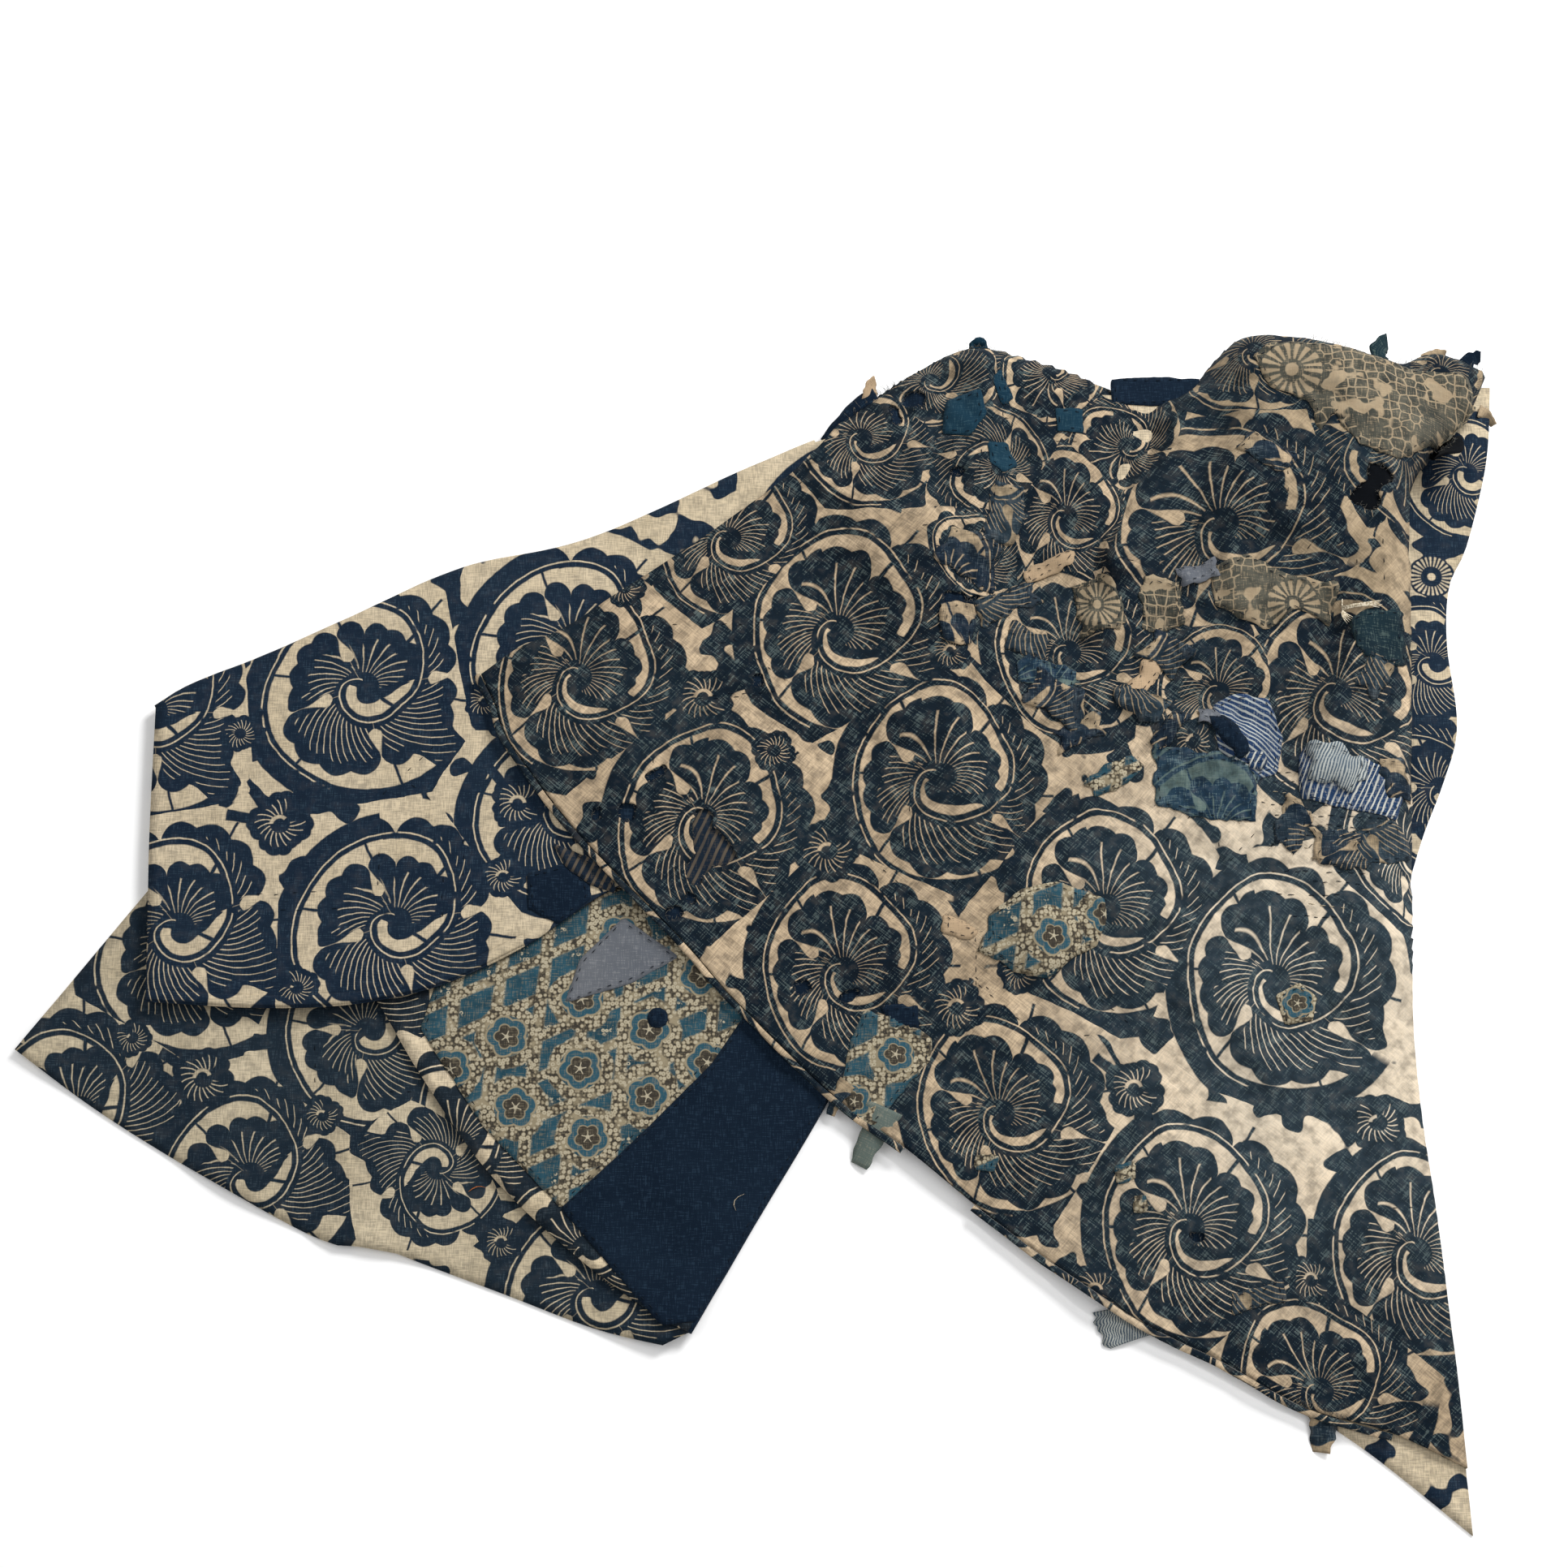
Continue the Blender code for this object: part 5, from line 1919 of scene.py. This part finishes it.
@dataclass
class Studio:
    """A plain pale floor, soft light from above and to the right, and the camera."""

    target: Vector = Vector((0.0055, 0.09655, 0.0))
    distance: float = 2.737
    elevation: float = 70.0
    lens: float = 85.0
    floor_size: float = 14.0

    def build(self) -> None:
        """Build the floor, the lights and the camera."""
        self.add_floor()
        self.add_world()
        self.add_light("key", (1.5, 1.7, 1.9), 1.1, LIGHT_POWER)
        self.add_light("fill", (-1.6, 0.4, 2.4), 2.4, LIGHT_POWER * 0.2)
        self.add_light("side", (1.0, -0.6, 1.1), 0.9, LIGHT_POWER * 0.055)
        self.add_camera()

    def add_floor(self) -> None:
        """Add the floor, a hair below the cloth."""
        mesh = bmesh.new()
        bmesh.ops.create_grid(mesh, x_segments=1, y_segments=1, size=self.floor_size / 2)
        data = bpy.data.meshes.new("floor")
        mesh.to_mesh(data)
        mesh.free()
        material = new_material("matt_white_paper")
        shader = material.node_tree.nodes["Principled BSDF"]
        shader.inputs["Base Color"].default_value = srgb("#ffffff")
        shader.inputs["Roughness"].default_value = 0.95
        shader.inputs["Specular IOR Level"].default_value = 0.0
        data.materials.append(material)
        floor = bpy.data.objects.new("floor", data)
        bpy.context.scene.collection.objects.link(floor)

    def add_world(self) -> None:
        """Light the scene evenly from all round."""
        world = bpy.data.worlds.new("soft_surround")
        world.use_nodes = True
        background = world.node_tree.nodes["Background"]
        background.inputs["Color"].default_value = (1.0, 1.0, 1.0, 1.0)
        background.inputs["Strength"].default_value = 0.44
        bpy.context.scene.world = world

    def add_light(self, name: str, place: tuple[float, float, float], size: float,
                  power: float) -> None:
        """Add a square soft light that faces the cloth."""
        light = bpy.data.lights.new(name, "AREA")
        light.size = size
        light.energy = power
        lamp = bpy.data.objects.new(name, light)
        lamp.location = place
        lamp.rotation_euler = (-Vector(place)).to_track_quat("-Z", "Y").to_euler()
        bpy.context.scene.collection.objects.link(lamp)

    def add_camera(self) -> None:
        """Add the camera at the photograph's angle."""
        rise = math.radians(self.elevation)
        away = Vector((0.0, -math.cos(rise), math.sin(rise))) * self.distance
        data = bpy.data.cameras.new("camera")
        data.lens = self.lens
        data.sensor_width = 36.0
        camera = bpy.data.objects.new("camera", data)
        camera.location = self.target + away
        camera.rotation_euler = (-away).to_track_quat("-Z", "Y").to_euler()
        bpy.context.scene.collection.objects.link(camera)
        scene = bpy.context.scene
        scene.camera = camera
        scene.view_settings.view_transform = "Standard"
        scene.view_settings.look = "None"
        scene.view_settings.exposure = 0.0


class PatchedCloth:
    """The whole object: the folded cloth, its patches, its stitches and its frayed threads."""

    def __init__(self) -> None:
        """Make the leaves and the finishes that several pieces share."""
        self.shape = ClothShape()
        self.leaves = self.shape.leaves()
        self.draw = random.Random(11)
        self.indigo = PlainCotton("plain_indigo_cotton", "#0a1725", "#132130", "#2a3c4d").material()
        self.calico = CalicoPrint("fine_printed_calico", CALICO_FLOWERS).material()
        self.teal = PlainCotton("washed_teal_cotton", "#112c3c", "#1b3745", "#3e5963").material()
        self.deep_teal = PlainCotton("dark_green_blue_cotton", "#1b2e35", "#0f1d25", "#5d6c66", 1.0).material()
        self.tan = PlainCotton("undyed_tan_cotton", "#ae9679", "#8f7c64", "#6c6152").material()
        self.worn_pale = PlainCotton("worn_pale_cotton", "#5d6862", "#454f50", "#8f8b7b").material()
        # A near-black sheet whose colour is painted shadow, put under the hood hole and the hole by the hood
        # corner.
        self.shadow = PlainCotton("shadowed_cotton", "#04060a", "#06090e", "#080c12").material()
        self.fine_stripes = StripedCotton("fine_striped_cotton", 20.0, dark="#46535f", light="#adb0aa",
                                          pitch=1.8).material()
        mended = ScrollDrawing(OPEN_SCROLL, size=58.0)
        self.mend_print = ScrollPrint("scroll_print_mends", mended, MEND_SCROLLS, (), "#142230", "#26343d",
                                      "#b8a284", "#948369", "#4c585e", 0.9).material()
        self.blue_print = ScrollPrint("scroll_print_blue_mends", mended, MEND_SCROLLS, (), "#1a3042",
                                      "#2c4351", "#6a7a72", "#46595b", "#5a6e73", 1.0).material()
        self.grey = PlainCotton("faded_grey_cotton", "#575b62", "#6a6c70", "#8a8b8d").material()
        self.stripes = StripedCotton("narrow_striped_cotton", 25.0, dark="#1d3454", pitch=3.9,
                                     balance=0.6).material()
        self.cross_stripes = StripedCotton("striped_cotton_with_dark_ground", 118.0, dark="#1e3455",
                                           light="#a6aaa6", pitch=3.9, balance=0.45).material()
        self.ticking = StripedCotton("dark_ticking_cotton", 25.0, dark="#16222f", light="#5d5346",
                                     pitch=6.0, balance=0.45).material()
        self.scales = ScalePrint("grey_green_printed_cotton",
                                 (Motif(383, 312, 25, 0), Motif(236, 132, 20, 60), Motif(378, 128, 21, 0),
                                  Motif(530, 330, 16, 0))).material()
        self.dark_thread = ThreadFinish("indigo_sewing_thread", "#16212e", "#0c131b").material()
        self.pale_thread = ThreadFinish("undyed_sewing_thread", "#bfb29a", "#8f836d").material()
        self.white_thread = ThreadFinish("white_sewing_thread", "#ded3bd", "#a3957c").material()
        self.orange_thread = ThreadFinish("orange_sewing_thread", "#c0733f", "#8a4f2b").material()
        self.frayed = ThreadFinish("frayed_cotton_ends", "#6f6a5e", "#2c353c").material()
        self.prints = self.print_leaves()

    def print_leaves(self) -> dict[LeafName, bpy.types.Material]:
        """Make the print of each leaf."""
        crisp = ScrollDrawing(OPEN_SCROLL)
        worn = ScrollDrawing(ROUND_SCROLL)
        under = ScrollPrint("scroll_print_under", crisp, UNDER_SCROLLS, UNDER_BUDS, "#122030",
                            "#1f2d3a", "#cdbda1", "#c0b093", "#3a4d5b", 0.35,
                            flowers=(Motif(489, 166, 17, 0),))
        low = ScrollPrint("scroll_print_low", crisp, LOW_SCROLLS, LOW_BUDS, "#16222d", "#243039",
                          "#c6b89d", "#b5a78c", "#404e57", 0.4)
        back = ScrollPrint("scroll_print_back", crisp, BACK_SCROLLS, (), "#151f28", "#222c34",
                           "#e0cfb2", "#cbb999", "#3c4850", 0.5)
        # The top print has painted light on its near right side and painted shade on its far right side.
        top = ScrollPrint("scroll_print_top", worn, TOP_SCROLLS, TOP_BUDS, "#0a1722", "#16242e",
                          "#cfb899", "#a69277", "#5a6766", 0.8, painted_side_light_and_shade=True,
                          weave=Weave(spacing=1.05, slub=12.0, angle=40.0))
        return {LeafName.UNDER: under.material(), LeafName.LOW: low.material(),
                LeafName.BACK: back.material(), LeafName.TOP: top.material()}

    def build_cloth(self) -> None:
        """Build the folded cloth."""
        FoldedCloth(self.shape, self.leaves, self.prints, self.indigo, HOLES).build()
        LOG.info("folded cloth")

    def patches(self) -> list[SewnPatch]:
        """List the patches."""
        back, top, under = LeafName.BACK, LeafName.TOP, LeafName.UNDER
        return [
            SewnPatch("indigo_panel_sheet", back,
                      [(-86, -407), (-62, -404), (-23, -335), (10, -281), (36, -233), (66, -176), (20, -130),
                       (-40, -165), (-26, -176), (-52, -216), (-96, -262), (-158, -322)],
                      self.indigo, "indigo_cotton", ("indigo_panel",), rough=0.3),
            SewnPatch("calico_panel_sheet", back,
                      [(-158, -322), (-96, -262), (-52, -216), (-26, -176), (-20, -120), (-90, -90),
                       (-180, -70), (-250, -150), (-262, -190), (-215, -262)],
                      self.calico, "calico_cotton", ("calico_panel",), rough=0.5),
            SewnPatch("hood_patch_sheet", top,
                      [(355, 326), (371, 338), (430, 334), (480, 322), (520, 320), (528, 296), (505, 268),
                       (484, 259), (460, 240), (430, 248), (412, 275), (402, 262), (396, 285), (366, 300)],
                      self.scales, "grey_green_cotton", ("hood_patch",), rough=1.6),
            SewnPatch("lower_scale_patch", top,
                      [(321, 130), (318, 158), (345, 170), (372, 152), (412, 143), (405, 117), (380, 124),
                       (356, 108)],
                      self.scales, "grey_green_cotton", rough=1.6),
            SewnPatch("flower_patch_sheet", top,
                      [(146, -110), (168, -92), (196, -84), (232, -97), (234, -112), (226, -131),
                       (208, -140), (189, -156), (165, -150), (150, -138)],
                      self.calico, "calico_cotton", ("flower_patch",), rough=1.0),
            SewnPatch("small_flower_patch", top,
                      [(353, -167), (371, -158), (384, -170), (378, -188), (360, -190)],
                      self.calico, "calico_cotton", rough=0.9),
            SewnPatch("striped_patch_left_sheet", top,
                      [(316, 51), (330, 60), (356, 55), (368, 30), (362, 0), (344, -8), (330, 5), (318, 13)],
                      self.cross_stripes, "striped_cotton", ("striped_patch_left",), rough=1.2),
            SewnPatch("striped_patch_right_sheet", top,
                      [(379, 12), (385, 20), (451, 2), (452, -18), (446, -38), (412, -30), (379, -22)],
                      self.stripes, "striped_cotton", ("striped_patch_right",), rough=0.8),
            SewnPatch("plain_patch_sheet", top,
                      [(124, 300), (146, 306), (150, 285), (139, 268), (120, 272)],
                      self.teal, "indigo_cotton", ("plain_patch",), rough=1.4),
            SewnPatch("valley_head_patch", under,
                      [(250, 326), (283, 328), (318, 326), (320, 308), (285, 303), (251, 305)],
                      self.indigo, "indigo_cotton", rough=1.0),
            SewnPatch("shoulder_blue_patch", top,
                      [(150, 262), (168, 264), (176, 246), (165, 238), (152, 244)],
                      self.teal, "indigo_cotton", rough=1.2),
            SewnPatch("valley_blue_patch", top,
                      [(205, 296), (226, 294), (228, 274), (208, 276)],
                      self.teal, "indigo_cotton", rough=1.2),
            SewnPatch("grey_arrow_patch", back,
                      [(-117, -106), (-76, -136), (-110, -156), (-158, -171), (-148, -138)],
                      self.grey, "indigo_cotton", layer=1, rough=0.3),
            SewnPatch("round_dark_patch", back,
                      [(-91 + 8 * math.cos(a), -182 + 8 * math.sin(a)) for a in
                       (0, .7, 1.4, 2.1, 2.8, 3.5, 4.2, 4.9, 5.6)],
                      self.indigo, "indigo_cotton", layer=1, rough=0.4),
            SewnPatch("upper_dark_patch", under,
                      [(-188, -74), (-158, -66), (-142, -80), (-140, -92), (-163, -113), (-186, -101)],
                      self.indigo, "indigo_cotton", rough=1.0),
            SewnPatch("ticking_patch", under,
                      [(-170, -50), (-142, -62), (-124, -76), (-122, -90), (-142, -82), (-160, -68)],
                      self.ticking, "striped_cotton", layer=1, rough=0.8),
            SewnPatch("edge_flower_patch", top,
                      [(40, -236), (48, -200), (58, -178), (84, -186), (107, -200), (104, -216), (86, -236),
                       (66, -262), (52, -262)],
                      self.calico, "calico_cotton", rough=1.4),
        ]

    def mends(self) -> list[SewnPatch]:
        """List the small mends of the worn areas; each shows its own part of its print."""
        finishes = {
            Cloth.PRINT: (self.mend_print, "printed_cotton"), Cloth.BLUE: (self.blue_print, "printed_cotton"),
            Cloth.TAN: (self.tan, "printed_cotton"), Cloth.TEAL: (self.teal, "indigo_cotton"),
            Cloth.DEEP: (self.deep_teal, "indigo_cotton"), Cloth.INDIGO: (self.indigo, "indigo_cotton"),
            Cloth.GREY: (self.grey, "indigo_cotton"), Cloth.SCALES: (self.scales, "grey_green_cotton"),
            Cloth.CALICO: (self.calico, "calico_cotton"), Cloth.STRIPES: (self.stripes, "striped_cotton"),
            Cloth.FINE: (self.fine_stripes, "striped_cotton"),
        }
        made = []
        for index, scrap in enumerate(MENDS):
            finish, slot = finishes[scrap.cloth]
            shift = (0.0, 0.0)
            if scrap.cloth in (Cloth.PRINT, Cloth.BLUE):
                angle = 2.4 * index
                shift = (36 * math.cos(angle) - scrap.x, 36 * math.sin(angle) - scrap.y)
            made.append(SewnPatch(f"small_mend_{index + 1:02d}", LeafName.TOP,
                                  torn_piece(*scrap[:5], index), finish, slot, layer=scrap.layer,
                                  shift=shift, rough=min(3.6, 0.15 * scrap.width), pucker=0.4))
        return made

    def linings(self) -> list[SewnPatch]:
        """List the dark backings that show through the holes; the hood hole and the hole by the hood corner
        get near-black sheets that paint the shade inside them.
        """
        made = []
        for index, hole in enumerate(HOLES):
            xs, ys = [x for x, _ in hole.outline], [y for _, y in hole.outline]
            middle = ((max(xs) + min(xs)) / 2, (max(ys) + min(ys)) / 2)
            size = (max(xs) - min(xs) + 12, max(ys) - min(ys) + 12)
            # painted shadow: the first and the last hole are backed by the near-black sheet
            finish = {0: self.shadow, 1: self.ticking, len(HOLES) - 1: self.shadow}.get(index, self.indigo)
            made.append(SewnPatch(f"lining_{index + 1:02d}", LeafName.TOP, blot(*middle, *size, 0), finish,
                                  "indigo_cotton", rough=0.5, pucker=0.0, below=True))
        return made

    def build_patches(self) -> None:
        """Build the patches, the small mends and the pieces behind the holes."""
        for index, patch in enumerate(self.patches() + self.mends() + self.linings()):
            patch.build(self.leaves, 20 + index)
        LOG.info("patches")

    def build_hems(self) -> None:
        """Build the rolled hems and the torn strips along the edges."""
        top, under = LeafName.TOP, LeafName.UNDER
        hems = [
            (Hem("left_hem", top, TOP_LOWER_EDGE[:8], -1.0, 4.5, 0.9, drawn_from=22.0), self.prints[top]),
            (Hem("lower_hem", top, TOP_LOWER_EDGE[8:14], -1.0, 4.5, 0.9, drawn_from=22.0),
             self.prints[top]),
            (Hem("upper_cloth_hem", under, UPPER_HEM[:6], 1.0, 8.0), self.prints[under]),
        ]
        for index, (hem, finish) in enumerate(hems):
            hem.build(Ribbon(hem.name, finish, "printed_cotton"), self.leaves, 90 + index)
        strips = [
            (TornStrip("shoulder_torn_strip", ((70, 312, 14), (50, 302, 13), (30, 276, 7)), 12.0, 20, .5),
             self.indigo),
            (TornStrip("shoulder_torn_end", ((66, 308, 13), (64, 318, 15), (70, 324, 13)), 12.0, 60, .3),
             self.tan),
            (TornStrip("hood_torn_strip", ((457, 334, 16), (452, 348, 19), (464, 358, 12)), 15.0, 50, .05),
             self.deep_teal),
            (TornStrip("hood_torn_edge", ((405, 346, 12), (418, 351, 14), (430, 348, 12)), 11.0, 20, .3),
             self.mend_print),
            (TornStrip("corner_torn_edge", ((492, 342, 12), (500, 348, 13), (508, 346, 12)), 10.0, 40, .3),
             self.mend_print),
            (TornStrip("corner_torn_strip", ((520, 336, 11), (528, 344, 13), (535, 345, 12)), 13.0, 40, .3),
             self.indigo),
            (TornStrip("side_torn_strip", ((531, 300, 10), (538, 298, 8), (543, 290, 5)), 10.0, 60, .4),
             self.mend_print),
            (TornStrip("edge_flap", ((72, -250, 12), (64, -268, 11), (53, -290, 2)), 26.0, 12, .5),
             self.worn_pale),
            (TornStrip("edge_flap_corner", ((46, -232, 13), (36, -244, 12), (33, -254, 6)), 13.0, 12, .5),
             self.mend_print),
            (TornStrip("striped_flap", ((238, -392, 1.6), (240, -404, 2.4), (244, -416, 1.2)), 42.0, 0, .15),
             self.fine_stripes),
            (TornStrip("flap_by_the_tip", ((374, -462, 5), (374, -478, 5), (372, -494, 1.6)), 24.0, 20, .5),
             self.mend_print),
        ]
        for index, (strip, finish) in enumerate(strips):
            strip.build(Ribbon(strip.name, finish, "printed_cotton"), 110 + index)
        LOG.info("hems and strips")

    def build_stitches(self) -> None:
        """Sew the running stitches."""
        dark = Strands("indigo_stitches", self.dark_thread, "indigo_cotton")
        pale = Strands("undyed_stitches", self.pale_thread, "printed_cotton")
        for patch in self.patches() + self.mends():
            row = StitchRow(patch.leaf, closed(patch.outline, 3.5), 8.0, 3.4, patch.layer + 1, 0.5)
            row.sew(dark, self.leaves, self.draw)
        self.sew_scattered(dark, LeafName.TOP, 60)
        self.sew_scattered(dark, LeafName.UNDER, 26)
        self.sew_scattered(dark, LeafName.LOW, 12)
        self.sew_darning(dark, pale)
        dark.build()
        pale.build()
        LOG.info("stitches")

    def sew_scattered(self, strands: Strands, name: LeafName, rows: int) -> None:
        """Sew short rows of mending stitches here and there on a leaf."""
        flat = self.leaves[name].flat
        for _ in range(rows):
            j = self.draw.randrange(6, len(flat) - 6)
            i = self.draw.randrange(6, len(flat[0]) - 6)
            place = flat[j][i]
            angle = self.draw.choice((0.05, 1.6, -0.75, 0.8))
            reach = self.draw.uniform(25, 70)
            end = (place.x + reach * math.cos(angle), place.y + reach * math.sin(angle))
            if not self.covers(name, Vector((*end, 0))):
                continue
            StitchRow(name, [(place.x, place.y), end], 12.0, 3.6, 0, 0.8, 0.2, 0.36).sew(
                strands, self.leaves, self.draw)

    def covers(self, name: LeafName, place: Vector) -> bool:
        """Tell whether a leaf reaches a flat place."""
        flat = self.leaves[name].flat
        outline = (flat[0] + [row[-1] for row in flat] + flat[-1][::-1] + [row[0] for row in flat[::-1]])
        return inside(place, outline)

    def sew_darning(self, dark: Strands, pale: Strands) -> None:
        """Darn the worn band on the right with close rows."""
        for row in range(14):
            y = 2 - row * 8.5
            begin = 342 + self.draw.uniform(0, 40)
            end = 446 - self.draw.uniform(0, 40)
            strands = pale if row % 5 == 2 else dark
            StitchRow(LeafName.TOP, [(begin, y), (end, y - 6)], 7.5, 4.0, 0, 0.8, 0.1).sew(
                strands, self.leaves, self.draw)
        for column in range(5):
            x = 130 + column * 9.0
            StitchRow(LeafName.TOP, [(x, 300), (x - 4, 215)], 8.0, 3.6, 0, 0.8, 0.25).sew(
                dark, self.leaves, self.draw)

    def build_frays(self) -> None:
        """Add the loose thread ends along torn edges."""
        strands = Strands("frayed_thread_ends", self.frayed, "printed_cotton")
        top = LeafName.TOP
        frays = [
            Fray(top, [(48, 292), (62, 304), (90, 322)], 6.0, 1.2, outward=(-0.4, 1.0), radius=0.2),
            Fray(top, [(120, 336), (150, 348), (175, 338)], 4.0, 1.4, outward=(0.0, 1.0), radius=0.2),
            Fray(top, [(230, 322), (285, 305)], 4.0, 2.4, outward=(0.1, 1.0), radius=0.2),
            Fray(top, [(400, 345), (430, 342)], 5.0, 1.6, outward=(0.2, 1.0), radius=0.2),
            Fray(top, [(455, 334), (535, 330)], 5.0, 1.6, outward=(0.3, 1.0), radius=0.2),
            Fray(top, [(530, 322), (518, 292), (500, 268)], 5.0, 1.6, outward=(1.0, 0.0), radius=0.2),
            Fray(top, [(355, -456), (392, -470)], 5.0, 1.0, outward=(-0.3, -1.0), radius=0.2),
        ]
        frays += [Fray(top, hole.outline + hole.outline[:1], 3.2, 0.9, 0.0, radius=0.16)
                  for hole in HOLES]
        frays += [Fray(top, patch.outline + patch.outline[:1], 2.4, 3.2, 1.4, radius=0.15)
                  for patch in self.mends()]
        for fray in frays:
            fray.add(strands, self.leaves, self.draw)
        strands.build()
        self.build_loose_threads()
        LOG.info("frayed ends")

    def build_loose_threads(self) -> None:
        """Add the white knot by the hood, and the two short ends of thread that lie on the cloth."""
        knot = Strands("white_thread_knot", self.white_thread, "printed_cotton")
        leaf = self.leaves[LeafName.TOP]
        middle = leaf.raised(Vector((417, 128, 0)), 4.5)
        far = leaf.raised(Vector((442, 127, 0)), 4.0)
        for k in range(6):
            knot.add(middle + Vector((0, k * 0.5, k * 0.3)), far + Vector((k % 3, k * 1.1 - 2.0, k * 0.2)),
                     0.8, Vector((0, 1.5 - k * 0.5, 2.5)))
        for k in range(5):
            knot.add(middle, middle + Vector((3 + k * 1.3, -11 + k * 1.2, 0.5)), 0.75,
                     Vector((-2, 0, 1.0)))
        knot.add(middle, middle + Vector((2, 16, 1)), 0.75, Vector((-1, 0, 1.0)))
        knot.build()
        orange = Strands("orange_thread_end", self.orange_thread, "printed_cotton")
        low = self.leaves[LeafName.LOW]
        orange.add(low.raised(Vector((-224, -309, 0)), 1.6), low.raised(Vector((-212, -306, 0)), 1.6),
                   0.45, Vector((0, 2, 0.5)))
        orange.build()
        pale = Strands("pale_thread_end", self.pale_thread, "printed_cotton")
        back = self.leaves[LeafName.BACK]
        pale.add(back.raised(Vector((-34, -324, 0)), 2.6), back.raised(Vector((-28, -312, 0)), 2.6),
                 0.4, Vector((-4, 1, 0.5)))
        pale.build()


def hide_replaced() -> None:
    """Check that no plain solid is left showing."""
    for thing in bpy.data.objects:
        if "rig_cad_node" in thing and not thing.hide_render:
            LOG.warning("solid %s still shows", thing.name)


def main() -> None:
    """Build the scene."""
    logging.basicConfig(level=logging.INFO, format="%(name)s: %(message)s")
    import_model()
    Studio().build()
    cloth = PatchedCloth()
    cloth.build_cloth()
    cloth.build_patches()
    cloth.build_hems()
    cloth.build_stitches()
    cloth.build_frays()
    hide_replaced()
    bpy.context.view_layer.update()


if __name__ == "__main__":
    main()
